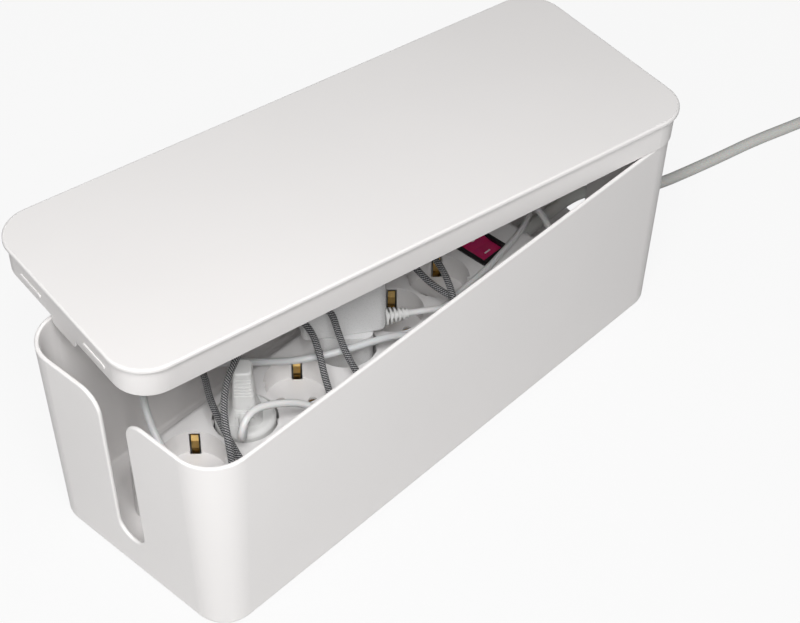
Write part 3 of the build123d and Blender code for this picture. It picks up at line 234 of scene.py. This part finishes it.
@dataclass(frozen=True)
class BareMetal:
    """Stamped or plated metal with faint drawing marks and tarnish."""

    name: str
    color: Color
    roughness: float
    stain: float = 0.8

    def make(self) -> bpy.types.Material:
        """Builds the material.

        Returns:
            The material.
        """
        sheet = NodeSheet(self.name)
        where = sheet.object_coords()
        cloud = sheet.noise(where, 180.0, 4.0)
        color = sheet.ramp(cloud, [(0.3, shade(self.color, self.stain)), (0.6, self.color)])
        stretched = sheet.add("Mapping", {"Vector": where,
                                          "Scale": (300.0, 300.0, 3000.0)}).outputs[0]
        marks = sheet.noise(stretched, 1.0, 2.0)
        rough = sheet.add("MapRange", {"Value": cloud, "To Min": self.roughness,
                                       "To Max": self.roughness + 0.15}).outputs["Result"]
        sheet.set(Base_Color=color, Roughness=rough, Metallic=1.0)
        sheet.bump(marks, 0.2, 0.00002)
        return sheet.material


@dataclass(frozen=True)
class ClearPlastic:
    """Clear or tinted see-through plastic."""

    name: str
    color: Color
    roughness: float
    clearness: float

    def make(self) -> bpy.types.Material:
        """Builds the material.

        Returns:
            The material.
        """
        sheet = NodeSheet(self.name)
        where = sheet.object_coords()
        cloud = sheet.noise(where, 120.0, 2.0)
        color = sheet.ramp(cloud, [(0.3, shade(self.color, 0.93)), (0.7, self.color)])
        rough = sheet.add("MapRange", {"Value": cloud, "To Min": self.roughness,
                                       "To Max": self.roughness + 0.06}).outputs["Result"]
        sheet.set(Base_Color=color, Roughness=rough, Transmission_Weight=self.clearness, IOR=1.52)
        return sheet.material


@dataclass(frozen=True)
class CordJacket:
    """A smooth extruded cord jacket with a faint sheen and handling marks."""

    name: str
    color: Color
    roughness: float

    def make(self) -> bpy.types.Material:
        """Builds the material.

        Returns:
            The material.
        """
        sheet = NodeSheet(self.name)
        where = sheet.object_coords()
        broad = sheet.noise(where, 35.0, 3.0)
        color = sheet.ramp(broad, [(0.3, shade(self.color, 0.95)), (0.7, self.color)])
        fine = sheet.noise(where, 900.0, 2.0)
        rough = sheet.add("MapRange", {"Value": fine, "To Min": self.roughness - 0.05,
                                       "To Max": self.roughness + 0.05}).outputs["Result"]
        sheet.set(Base_Color=color, Roughness=rough, Subsurface_Weight=0.06,
                  Subsurface_Scale=0.001)
        sheet.bump(fine, 0.25, 0.00003)
        return sheet.material


@dataclass(frozen=True)
class WovenBraid:
    """A woven sleeve: two sets of strands that cross, read from the tube's own UV map, with painted
    shade in the gaps between strands.
    """

    name: str
    dark: Color
    pale: Color
    strands: float = 5.0
    # how dark the painted shade in the gaps between strands is, against the dark strands
    gap_shade: float = 0.35

    def make(self) -> bpy.types.Material:
        """Builds the material.

        Returns:
            The material.
        """
        sheet = NodeSheet(self.name)
        parts = sheet.add("SeparateXYZ", {"Vector": sheet.add("TexCoord").outputs["UV"]})
        along, around = parts.outputs["X"], parts.outputs["Y"]
        turned = sheet.math("MULTIPLY", around, self.strands)
        left = sheet.math("FRACT", sheet.math("ADD", along, turned))
        right = sheet.math("FRACT", sheet.math("SUBTRACT", along, turned))
        left_top = sheet.math("PINGPONG", left, 0.5)
        right_top = sheet.math("PINGPONG", right, 0.5)
        over = sheet.math("GREATER_THAN", left_top, right_top)
        height = sheet.math("MAXIMUM", left_top, right_top)
        # this ramp is the weave's bump height and also a painted shade: the strands' low parts and
        # the gaps between them are darkened
        depth_and_painted_shade = sheet.ramp(sheet.math("MULTIPLY", height, 2.0),
                           [(0.25, (0.0, 0.0, 0.0)), (0.9, (1.0, 1.0, 1.0))])
        strand = sheet.add("Mix", {"Factor": over, "6": (*self.dark, 1.0), "7": (*self.pale, 1.0)},
                           data_type="RGBA").outputs[2]
        # painted shade: the gaps between strands get a darker copy of the dark strand colour
        painted_gap_color = shade(self.dark, self.gap_shade)
        color = sheet.add("Mix", {"Factor": depth_and_painted_shade, "6": (*painted_gap_color, 1.0), "7": strand},
                          data_type="RGBA").outputs[2]
        sheet.set(Base_Color=color, Roughness=0.55, Sheen_Weight=0.2, Sheen_Roughness=0.4)
        sheet.bump(depth_and_painted_shade, 0.8, 0.0003)
        return sheet.material


@dataclass(frozen=True)
class HookTape:
    """Black hook-and-loop tape with a looped pile."""

    name: str
    color: Color

    def make(self) -> bpy.types.Material:
        """Builds the material.

        Returns:
            The material.
        """
        sheet = NodeSheet(self.name)
        where = sheet.object_coords()
        loops = sheet.add("TexVoronoi", {"Vector": where, "Scale": 1600.0}).outputs["Distance"]
        color = sheet.ramp(loops, [(0.1, shade(self.color, 1.9)), (0.6, self.color)])
        sheet.set(Base_Color=color, Roughness=0.9, Sheen_Weight=0.5, Sheen_Roughness=0.5)
        sheet.bump(loops, 0.8, 0.0003)
        return sheet.material


@dataclass(frozen=True)
class StudioFloor:
    """The pale floor that the box stands on, evenly lit like a paper sweep."""

    name: str
    color: Color
    paper: float = 0.9

    def make(self) -> bpy.types.Material:
        """Builds the material.

        Returns:
            The material.
        """
        sheet = NodeSheet(self.name)
        cloud = sheet.noise(sheet.object_coords(), 2.0, 2.0)
        color = sheet.ramp(cloud, [(0.3, shade(self.color, 0.995)), (0.7, self.color)])
        sheet.set(Base_Color=color, Roughness=0.9)
        seen = sheet.add("LightPath").outputs["Is Camera Ray"]
        share = sheet.math("MULTIPLY", seen, self.paper)
        paper = sheet.add("Emission", {"Color": WHITE, "Strength": 1.0})
        mix = sheet.add("MixShader", {"0": share, "1": sheet.shader.outputs[0],
                                      "2": paper.outputs[0]})
        sheet.tree.links.new(mix.outputs[0], sheet.tree.nodes["Material Output"].inputs[0])
        return sheet.material


BOX_WHITE = MouldedPlastic("box_white", (0.87, 0.85, 0.84), 0.48)
LID_WHITE = MouldedPlastic("lid_white", (0.875, 0.855, 0.845), 0.46)
STRIP_WHITE = MouldedPlastic("strip_white", (0.86, 0.845, 0.84), 0.32, SATIN_GRAIN, SATIN_DEPTH)
FOOT_RUBBER = MouldedPlastic("foot_rubber", (0.35, 0.35, 0.34), 0.8)
SWITCH_BLACK = MouldedPlastic("switch_black", (0.012, 0.011, 0.012), 0.3, SATIN_GRAIN, SATIN_DEPTH)
ROCKER_RED = MouldedPlastic("rocker_red", (0.52, 0.014, 0.11), 0.16, SATIN_GRAIN, GLOSS_DEPTH,
                            coat=0.6, glow=0.25)
MARK_PALE = MouldedPlastic("mark_pale", (0.80, 0.62, 0.66), 0.4)
PLUG_WHITE = MouldedPlastic("plug_white", (0.80, 0.80, 0.79), 0.34, SATIN_GRAIN, SATIN_DEPTH)
CHARGER_WHITE = MouldedPlastic("charger_white", (0.80, 0.80, 0.80), 0.28, SATIN_GRAIN, SATIN_DEPTH)
PLUG_GREY = MouldedPlastic("plug_grey", (0.58, 0.58, 0.56), 0.45)
PLUG_BLACK = MouldedPlastic("plug_black", (0.02, 0.02, 0.02), 0.4)
CONTACT_BRASS = BareMetal("contact_brass", (0.83, 0.58, 0.22), 0.22)
PLATED_STEEL = BareMetal("plated_steel", (0.62, 0.62, 0.60), 0.3)
PIN_NICKEL = BareMetal("pin_nickel", (0.72, 0.70, 0.66), 0.18, 0.9)
PATCH_CLEAR = ClearPlastic("patch_clear", (0.92, 0.94, 0.94), 0.08, 0.85)
LAMP_GLASS = ClearPlastic("lamp_glass", (1.0, 0.45, 0.25), 0.05, 0.8)
MAINS_JACKET = CordJacket("mains_jacket", (0.60, 0.60, 0.575), 0.42)
FLEX_JACKET = CordJacket("flex_jacket", (0.78, 0.78, 0.775), 0.38)
PATCH_JACKET = CordJacket("patch_jacket", (0.70, 0.71, 0.715), 0.38)
BRAID_SLEEVE = WovenBraid("braid_sleeve", (0.04, 0.04, 0.043), (0.46, 0.46, 0.47))
TIE_TAPE = HookTape("tie_tape", (0.012, 0.012, 0.012))
FLOOR_PALE = StudioFloor("floor_pale", (0.55, 0.55, 0.55))

Finish = (MouldedPlastic | BareMetal | ClearPlastic | CordJacket | WovenBraid | HookTape
          | StudioFloor)


class Paintshop:
    """Makes each finish once and hands it out."""

    def __init__(self) -> None:
        """Starts with no material made."""
        self.made: dict[str, bpy.types.Material] = {}

    def dress(self, piece: bpy.types.Object, finish: Finish) -> None:
        """Gives a piece one finish all over.

        Args:
            piece: The piece, or a node of the frame.
            finish: Its finish.
        """
        if finish.name not in self.made:
            self.made[finish.name] = finish.make()
        material = self.made[finish.name]
        if not piece.material_slots:
            piece.data.materials.append(material)
        for slot in piece.material_slots:
            slot.material = material


PAINTSHOP = Paintshop()


def dress_nodes(finish: Finish, *names: str) -> None:
    """Dresses nodes of the frame.

    Args:
        finish: Their finish.
        names: The nodes' names.
    """
    for name in names:
        PAINTSHOP.dress(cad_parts[name], finish)
        log.info("node %s: %s", name, finish.name)


# ------------------------------------------------------------------ studio
@dataclass
class SoftLight:
    """A square soft light that points at the box."""

    name: str
    place: Point
    width: float
    power: float

    def make(self, aim: Vector) -> None:
        """Hangs the light.

        Args:
            aim: The point that it faces.
        """
        data = bpy.data.lights.new(self.name, "AREA")
        data.size, data.energy = self.width, self.power
        light = bpy.data.objects.new(self.name, data)
        light.location = Vector(self.place)
        light.rotation_euler = (aim - light.location).to_track_quat("-Z", "Y").to_euler()
        bpy.context.scene.collection.objects.link(light)


@dataclass
class Studio:
    """The camera, the lights and the floor."""

    camera_place: Point = (-0.64958, -0.62367, 0.93652)
    camera_aim: Point = (-0.00323, -0.02753, 0.09)
    camera_roll: float = 0.468
    lens: float = 93.25
    floor_width: float = 9.0
    sky: float = 0.15

    def make_camera(self) -> None:
        """Sets up the camera."""
        data = bpy.data.cameras.new("camera")
        data.lens, data.sensor_width = self.lens, SENSOR_WIDTH
        data.clip_start, data.clip_end = 0.05, 50.0
        camera = bpy.data.objects.new("camera", data)
        place = Vector(self.camera_place)
        look = (Vector(self.camera_aim) - place).to_track_quat("-Z", "Y").to_matrix()
        roll = Matrix.Rotation(math.radians(self.camera_roll), 3, "Z")
        camera.matrix_world = Matrix.Translation(place) @ (look @ roll).to_4x4()
        bpy.context.scene.collection.objects.link(camera)
        bpy.context.scene.camera = camera

    def make_lights(self) -> None:
        """Sets up the sky and the soft lights."""
        world = bpy.data.worlds.new("sky")
        world.use_nodes = True
        background = world.node_tree.nodes["Background"]
        background.inputs["Color"].default_value = WHITE
        background.inputs["Strength"].default_value = self.sky
        bpy.context.scene.world = world
        bpy.context.scene.view_settings.view_transform = "Standard"
        aim = Vector((0.0, 0.0, 0.1))
        for light in (SoftLight("key", (-0.66, -0.66, 1.25), 0.7, 23.0),
                      SoftLight("fill", (-1.6, -0.2, 0.7), 1.2, 3.0)):
            light.make(aim)

    def make_floor(self) -> None:
        """Lays the floor."""
        mesh = bpy.data.meshes.new("floor")
        shape = bmesh.new()
        bmesh.ops.create_grid(shape, x_segments=2, y_segments=2, size=self.floor_width / 2)
        shape.to_mesh(mesh)
        shape.free()
        floor = bpy.data.objects.new("floor", mesh)
        bpy.context.scene.collection.objects.link(floor)
        PAINTSHOP.dress(floor, FLOOR_PALE)

    def make(self) -> None:
        """Sets up the whole studio."""
        self.make_camera()
        self.make_lights()
        self.make_floor()


# ------------------------------------------------------------------ leads
def spline_curve(name: str, points: list[Vector]) -> bpy.types.Curve:
    """Makes a smooth curve whose control points are a route's points.

    Args:
        name: The curve's name.
        points: The route, in metres.

    Returns:
        The curve's data.
    """
    data = bpy.data.curves.new(name, "CURVE")
    data.dimensions = "3D"
    data.resolution_u = 8
    spline = data.splines.new("NURBS")
    spline.points.add(len(points) - 1)
    for knot, point in zip(spline.points, points):
        knot.co = (*point, 1.0)
    spline.order_u = 3
    spline.use_endpoint_u = True
    return data


@dataclass
class Lead:
    """A round lead that lies along a route."""

    name: str
    route: list[Point]
    diameter: float
    finish: Finish
    slot: str
    stands_for: tuple[str, ...]
    on_it: tuple[str, ...]
    far_end: FarEnd = FarEnd.CONNECTOR
    stiffness: Stiffness = Stiffness.LIMP
    lay: Lay = Lay.LOOSE

    def points(self) -> list[Vector]:
        """Returns the route's points, in metres."""
        return [Vector(point) * MM for point in self.route]

    def centreline(self) -> list[Vector]:
        """Reads the smooth line back from the route's own spline.

        Returns:
            Points along it, in metres.
        """
        probe = bpy.data.objects.new("probe", spline_curve("probe", self.points()))
        mesh = bpy.data.meshes.new_from_object(probe)
        line = [vertex.co.copy() for vertex in mesh.vertices]
        bpy.data.objects.remove(probe)
        bpy.data.meshes.remove(mesh)
        return line

    def declare(self, piece: bpy.types.Object, path: list[Vector] | None) -> None:
        """Hangs the lead on the box and hides the nodes that it stands for.

        Args:
            piece: The lead's object.
            path: Not used. The line that a mesh tube follows, or None for a curve.
        """
        line = self.centreline()
        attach(piece, "box")
        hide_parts(*self.stands_for)

    def make(self) -> None:
        """Makes the lead as a curve with a round section."""
        data = spline_curve(self.name, self.points())
        data.bevel_depth = self.diameter * MM / 2
        data.bevel_resolution = 5
        data.use_fill_caps = True
        piece = bpy.data.objects.new(self.name, data)
        bpy.context.scene.collection.objects.link(piece)
        PAINTSHOP.dress(piece, self.finish)
        self.declare(piece, None)


@dataclass
class BraidedLead(Lead):
    """A lead with a woven sleeve, whose pattern follows the tube."""

    sides: int = 14
    step: float = 1.5
    weave_pitch: float = 1.5

    def even_line(self) -> list[Vector]:
        """Returns the smooth line with its points evenly spaced."""
        line = self.centreline()
        even, left = [line[0]], self.step * MM
        for a, b in zip(line, line[1:]):
            run = (b - a).length
            at = left
            while at <= run:
                even.append(a.lerp(b, at / run))
                at += self.step * MM
            left = at - run
        if (line[-1] - even[-1]).length > 0.2 * self.step * MM:
            even.append(line[-1])
        return even

    def tube(self, line: list[Vector]) -> bpy.types.Mesh:
        """Sweeps a ring along the line, with a UV map that follows it.

        Args:
            line: The evenly spaced points.

        Returns:
            The tube's mesh.
        """
        shape = bmesh.new()
        uv_layer = shape.loops.layers.uv.new("weave")
        radius = self.diameter * MM / 2
        tangent = (line[1] - line[0]).normalized()
        side = tangent.cross(Vector((0, 0, 1))).normalized()
        rings = []
        for i, point in enumerate(line):
            ahead = (line[min(i + 1, len(line) - 1)] - line[max(i - 1, 0)]).normalized()
            side = (side - ahead * side.dot(ahead)).normalized()
            up = ahead.cross(side)
            angles = [math.tau * j / self.sides for j in range(self.sides)]
            rings.append([shape.verts.new(point + radius * (math.cos(a) * side + math.sin(a) * up))
                          for a in angles])
        travelled = 0.0
        for i in range(len(line) - 1):
            run = (line[i + 1] - line[i]).length / (self.weave_pitch * MM)
            for j in range(self.sides):
                k = (j + 1) % self.sides
                face = shape.faces.new((rings[i][j], rings[i][k], rings[i + 1][k], rings[i + 1][j]))
                face.smooth = True
                corners = ((0, 0), (0, 1), (1, 1), (1, 0))
                for loop, (du, dv) in zip(face.loops, corners):
                    loop[uv_layer].uv = (travelled + du * run, (j + dv) / self.sides)
            travelled += run
        shape.faces.new(rings[0][::-1])
        shape.faces.new(rings[-1])
        bmesh.ops.recalc_face_normals(shape, faces=shape.faces)
        mesh = bpy.data.meshes.new(self.name)
        shape.to_mesh(mesh)
        shape.free()
        return mesh

    def make(self) -> None:
        """Makes the lead as a mesh tube."""
        line = self.even_line()
        piece = bpy.data.objects.new(self.name, self.tube(line))
        bpy.context.scene.collection.objects.link(piece)
        PAINTSHOP.dress(piece, self.finish)
        self.declare(piece, line)


@dataclass
class MainsCoil:
    """The put-away turns of the mains cord: two turns wide and two high."""

    centre_x: float = 441.0
    centre_y: float = -101.0
    mean_radius: float = 42.0
    pitch: float = 8.0
    floor_level: float = 5.0
    start_angle: float = 78.0
    turns: int = 4
    per_turn: int = 20
    crossing: int = 4            # points in which a turn passes to the next

    def points(self) -> list[Point]:
        """Winds the turns clockwise: out, in, up, and out again.

        Returns:
            The turns' points, in millimetres.
        """
        outer, inner = self.mean_radius + self.pitch / 2, self.mean_radius - self.pitch / 2
        high = self.floor_level + self.pitch
        stations = [(outer, self.floor_level), (inner, self.floor_level), (inner, high),
                    (outer, high)]
        wound = []
        for turn in range(self.turns):
            here = stations[turn]
            there = stations[min(turn + 1, self.turns - 1)]
            for i in range(self.per_turn):
                angle = math.radians(self.start_angle - 360.0 * i / self.per_turn)
                share = max(0.0, (i - self.per_turn + self.crossing) / self.crossing)
                radius = here[0] + (there[0] - here[0]) * share
                height = here[1] + (there[1] - here[1]) * share
                wound.append((self.centre_x + radius * math.cos(angle),
                              self.centre_y + radius * math.sin(angle), height))
        return wound


MAINS_ROUTE: list[Point] = [
    (166, 6, 31.8), (178, 6, 31.8), (191, 5, 33.6), (206, 2.4, 34), (222, -1, 30), (240, -4.9, 20),
    (259, -7.8, 10.5), (280, -12, 5.4), (304, -17.2, 4.2), (332, -24, 4.2), (362, -30.6, 4.4),
    (394, -40.5, 4.6), (423, -49, 4.8),
]
TAIL_ROUTE: list[Point] = [
    (445, -55.2, 13), (455, -55.2, 13.3), (465.3, -53.2, 15.8), (475.6, -49.9, 18.2),
    (486, -47, 19),
]
FLEX_ROUTE: list[Point] = [
    (-111.01, -5.31, 58), (-115.4, -9.7, 58), (-120.4, -13.6, 61.5), (-121.5, -14.6, 69),
    (-116, -13, 74.8), (-107.5, -12, 75.5), (-98.5, -13.4, 73), (-89.5, -16, 69.5),
    (-80.5, -19.5, 65.5), (-73, -25.5, 60), (-69, -34.5, 51), (-65.5, -45, 39), (-59, -54, 26),
    (-48.5, -60, 14.5), (-34.5, -61.8, 8), (-18, -61.8, 6.6), (0, -62, 6.3), (24, -62.8, 6.4),
    (48, -61.8, 6.3), (72, -60.9, 6.4), (98, -61, 6.6), (120, -57, 10.5), (136, -47, 22),
    (144, -34, 38), (148, -19, 53), (150.5, -3, 62), (150.5, 13, 63), (147.5, 28, 58),
    (139, 43, 46), (123, 53, 29.5), (103, 58.5, 15), (82, 60, 8.7), (63, 60, 8.7),
]
CHARGER_ROUTE: list[Point] = [
    (17.35, -15.0, 66.2), (26.4, -21.3, 66.2), (36.5, -25, 63), (48.5, -21.5, 57.5), (61, -17, 54),
    (76, -15.6, 53), (92, -14.4, 53), (107, -12.2, 53.4), (123, -9.4, 53.4), (140, -5, 53),
    (157, 5.5, 49.5), (170, 20, 42), (175, 35, 31), (169, 49, 18), (155, 57, 7.6), (140, 58.5, 7.6),
]
PATCH_ROUTE: list[Point] = [
    (66, -34, 8.2), (54, -34.2, 8.2), (42, -34.5, 16.5), (31, -34, 30), (22.5, -32, 43.5),
    (14, -28, 55.5), (3, -21.5, 62.5), (-12, -16.5, 65), (-36, -4.5, 63), (-55, 11, 59.5),
    (-67, 28, 56), (-77, 44, 52.5), (-92, 55, 50), (-110, 59, 53), (-126, 56, 62),
    (-136.5, 50.5, 71.5), (-145, 42, 76.5), (-151, 32.5, 74.5), (-153, 25, 64), (-155.5, 12, 55.5),
    (-161.5, -6, 54.8), (-165, -19.5, 55.5), (-166, -30.5, 48.5), (-160, -38, 34), (-149, -40, 19),
    (-136, -37.5, 8.2), (-122, -35, 8.2),
]
BRAID_ROUTE: list[Point] = [
    (-100, -60, 7.1), (-116, -60, 7.1), (-132, -57, 13), (-143, -50, 25), (-148, -43.5, 39.5),
    (-147, -37.5, 52), (-142.5, -30, 63.5), (-135, -18.5, 75), (-127, -6.5, 84.5),
    (-115.5, 2.3, 94.5), (-101.7, 7, 101), (-86.5, 14.5, 102), (-71.5, 25, 97.5), (-60.5, 36.5, 89),
    (-55.5, 47.5, 78.5), (-58, 58, 69.5), (-66.5, 65.5, 62.5), (-77.5, 66.5, 58.5), (-89, 59.5, 59),
    (-98.5, 46.5, 65.5), (-106, 32, 69.5), (-115.8, 17.8, 68.5), (-123, 0.5, 65), (-128, -15, 60),
    (-129.5, -28, 50.5), (-124, -38, 38), (-112, -45, 23), (-98, -49, 12.5), (-84, -49.5, 10),
    (-72.5, -47.5, 15), (-65.5, -43, 26), (-61.5, -36.5, 39.5), (-59.5, -27.5, 53),
    (-55.2, -16, 64), (-48, -4.5, 73.5), (-42.5, 8, 80), (-43.5, 21, 84), (-44, 34, 82),
    (-39, 47, 74), (-26, 56, 66), (-8, 58, 64), (12, 54, 68), (30, 42, 75), (44, 27, 79),
    (53, 12, 80), (55, -1, 79), (52, -12, 76.5), (47.5, -22, 72.5), (42.5, -31, 65.5),
    (37, -39, 54.5), (27, -47, 41), (12, -52, 28), (-5, -51, 21), (-19, -45.5, 26),
    (-28.5, -36.5, 38.5), (-33.5, -26, 52), (-34, -13.5, 65.5), (-31.8, -4, 78), (-30.5, 2.5, 90.5),
    (-40, 10.5, 99), (-49, 24, 99.5), (-50, 39, 93.5), (-42, 52, 85), (-26, 60, 78), (-8, 63, 75),
    (11, 59, 78), (27, 47, 85), (36, 32, 90), (39, 16, 89), (38, 3, 84), (39.5, -7, 76),
    (44, -16.5, 68), (49.5, -26.5, 62.5), (54.5, -36.5, 52.5), (61.5, -44.5, 39.5),
    (71.5, -48.5, 26), (82, -48.5, 14.5), (94, -47, 7.4), (106, -46.5, 7.4),
]


class Leads:
    """Every free lead of the box."""

    def make(self) -> None:
        """Makes the mains cord and the four leads inside."""
        Lead("mains_lead", MAINS_ROUTE + MainsCoil().points() + TAIL_ROUTE, 8.0, MAINS_JACKET,
             "cord_grey", ("mains_cord", "mains_cord_coil", "mains_cord_tail"),
             ("mains_plug", "mains_plug_pins", "coil_tie"), FarEnd.PLUG, Stiffness.MEDIUM,
             Lay.COILED).make()
        Lead("appliance_flex", FLEX_ROUTE, 4.5, FLEX_JACKET, "flex_white", ("plug_flex",),
             ("flex_connector",)).make()
        Lead("usb_lead", CHARGER_ROUTE, 4.0, FLEX_JACKET, "flex_white", ("charger_lead",),
             ("charger_lead_plug", "charger_lead_shell")).make()
        Lead("network_lead", PATCH_ROUTE, 4.5, PATCH_JACKET, "patch_grey", ("patch_lead",),
             ("patch_boot_a", "patch_plug_a", "patch_boot_b", "patch_plug_b")).make()
        BraidedLead("woven_lead", BRAID_ROUTE, 4.2, BRAID_SLEEVE, "braid_fabric",
                    ("braided_lead",), ("braid_plug_a", "braid_shell_a", "braid_plug_b",
                                        "braid_shell_b")).make()


# ------------------------------------------------------------------ switch marks
@dataclass
class RockerMarks:
    """The bar and ring printed on the rocker, laid on its curved top."""

    bar_length: float = 5.0
    bar_width: float = 1.1
    ring_radius: float = 2.2
    ring_width: float = 0.8
    offset: float = 7.0
    lift: float = 0.05
    thickness: float = 0.12
    drop: float = 20.0           # how far above the rocker the marks start

    def lay_on_rocker(self, shape: bmesh.types.BMesh, name: str) -> None:
        """Drops a flat shape on the rocker, gives it a thickness and dresses it.

        Args:
            shape: The flat shape, above the rocker, in metres.
            name: The piece's name.
        """
        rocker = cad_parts["switch_rocker"]
        corners = [vertex.co for vertex in rocker.data.vertices]
        faces = [tuple(face.vertices) for face in rocker.data.polygons]
        tree = BVHTree.FromPolygons(corners, faces)
        for vertex in shape.verts:
            hit = tree.ray_cast(vertex.co, Vector((0, 0, -1)))[0]
            vertex.co = hit + Vector((0, 0, (self.lift + self.thickness) * MM))
        bmesh.ops.recalc_face_normals(shape, faces=shape.faces)
        bmesh.ops.solidify(shape, geom=shape.faces[:], thickness=self.thickness * MM)
        bmesh.ops.recalc_face_normals(shape, faces=shape.faces)
        mesh = bpy.data.meshes.new(name)
        shape.to_mesh(mesh)
        shape.free()
        piece = bpy.data.objects.new(name, mesh)
        bpy.context.scene.collection.objects.link(piece)
        PAINTSHOP.dress(piece, MARK_PALE)
        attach(piece, "rocker")
        log.info("mark %s", name)

    def make(self) -> None:
        """Makes both marks."""
        low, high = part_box("switch_rocker")
        middle = (low + high) / 2
        above = high.z + self.drop * MM
        bar = bmesh.new()
        bmesh.ops.create_grid(bar, x_segments=8, y_segments=2, size=0.5)
        bmesh.ops.scale(bar, vec=(self.bar_length * MM, self.bar_width * MM, 1.0), verts=bar.verts)
        bar_place = (middle.x, middle.y - self.offset * MM, above)
        bmesh.ops.translate(bar, vec=bar_place, verts=bar.verts)
        self.lay_on_rocker(bar, "on_mark")
        ring = bmesh.new()
        inner = ring.verts.new(((self.ring_radius - self.ring_width / 2) * MM, 0, 0))
        outer = ring.verts.new(((self.ring_radius + self.ring_width / 2) * MM, 0, 0))
        edge = ring.edges.new((inner, outer))
        bmesh.ops.spin(ring, geom=[inner, outer, edge], angle=math.tau, steps=32, axis=(0, 0, 1),
                       cent=(0, 0, 0), use_merge=True)
        ring_place = (middle.x, middle.y + self.offset * MM, above)
        bmesh.ops.translate(ring, vec=ring_place, verts=ring.verts)
        self.lay_on_rocker(ring, "off_mark")


# ------------------------------------------------------------------ sub-assemblies
class CableBox:
    """The tub, its feet and the lid."""

    def make(self) -> None:
        """Dresses the box's nodes."""
        dress_nodes(BOX_WHITE, "tub_shell")
        dress_nodes(LID_WHITE, "lid_cover")
        dress_nodes(FOOT_RUBBER, "rubber_feet")


class SocketStrip:
    """The strip, its contacts and its switch."""

    def make(self) -> None:
        """Dresses the strip's nodes and marks the rocker."""
        dress_nodes(STRIP_WHITE, "strip_base", "strip_cover")
        dress_nodes(CONTACT_BRASS, "live_rail", "neutral_rail", "earth_rail", "switch_terminals")
        dress_nodes(PLATED_STEEL, "strip_screws")
        dress_nodes(SWITCH_BLACK, "switch_frame")
        dress_nodes(ROCKER_RED, "switch_rocker")
        dress_nodes(LAMP_GLASS, "switch_lamp")
        dress_nodes(PLUG_GREY, "cord_boot", "mains_plug")
        dress_nodes(PIN_NICKEL, "mains_plug_pins")
        dress_nodes(TIE_TAPE, "coil_tie")
        RockerMarks().make()


class PluggedIn:
    """The plug, the charger and the connectors on the leads' ends."""

    def make(self) -> None:
        """Dresses their nodes."""
        dress_nodes(PLUG_WHITE, "socket_plug", "flex_connector", "charger_boot",
                    "charger_lead_plug")
        dress_nodes(CHARGER_WHITE, "charger_case", "charger_foot")
        dress_nodes(PIN_NICKEL, "socket_plug_pins", "charger_pins")
        dress_nodes(PLATED_STEEL, "charger_lead_shell", "braid_shell_a", "braid_shell_b")
        dress_nodes(PATCH_CLEAR, "patch_plug_a", "patch_plug_b")
        dress_nodes(PATCH_JACKET, "patch_boot_a", "patch_boot_b")
        dress_nodes(PLUG_BLACK, "braid_plug_a", "braid_plug_b")


def main() -> None:
    """Builds the studio, then the leads, then each sub-assembly."""
    logging.basicConfig(level=logging.INFO, format="%(name)s: %(message)s")
    Studio().make()
    for assembly in (Leads(), CableBox(), SocketStrip(), PluggedIn()):
        log.info("making %s", type(assembly).__name__)
        assembly.make()


if __name__ == "__main__":
    main()
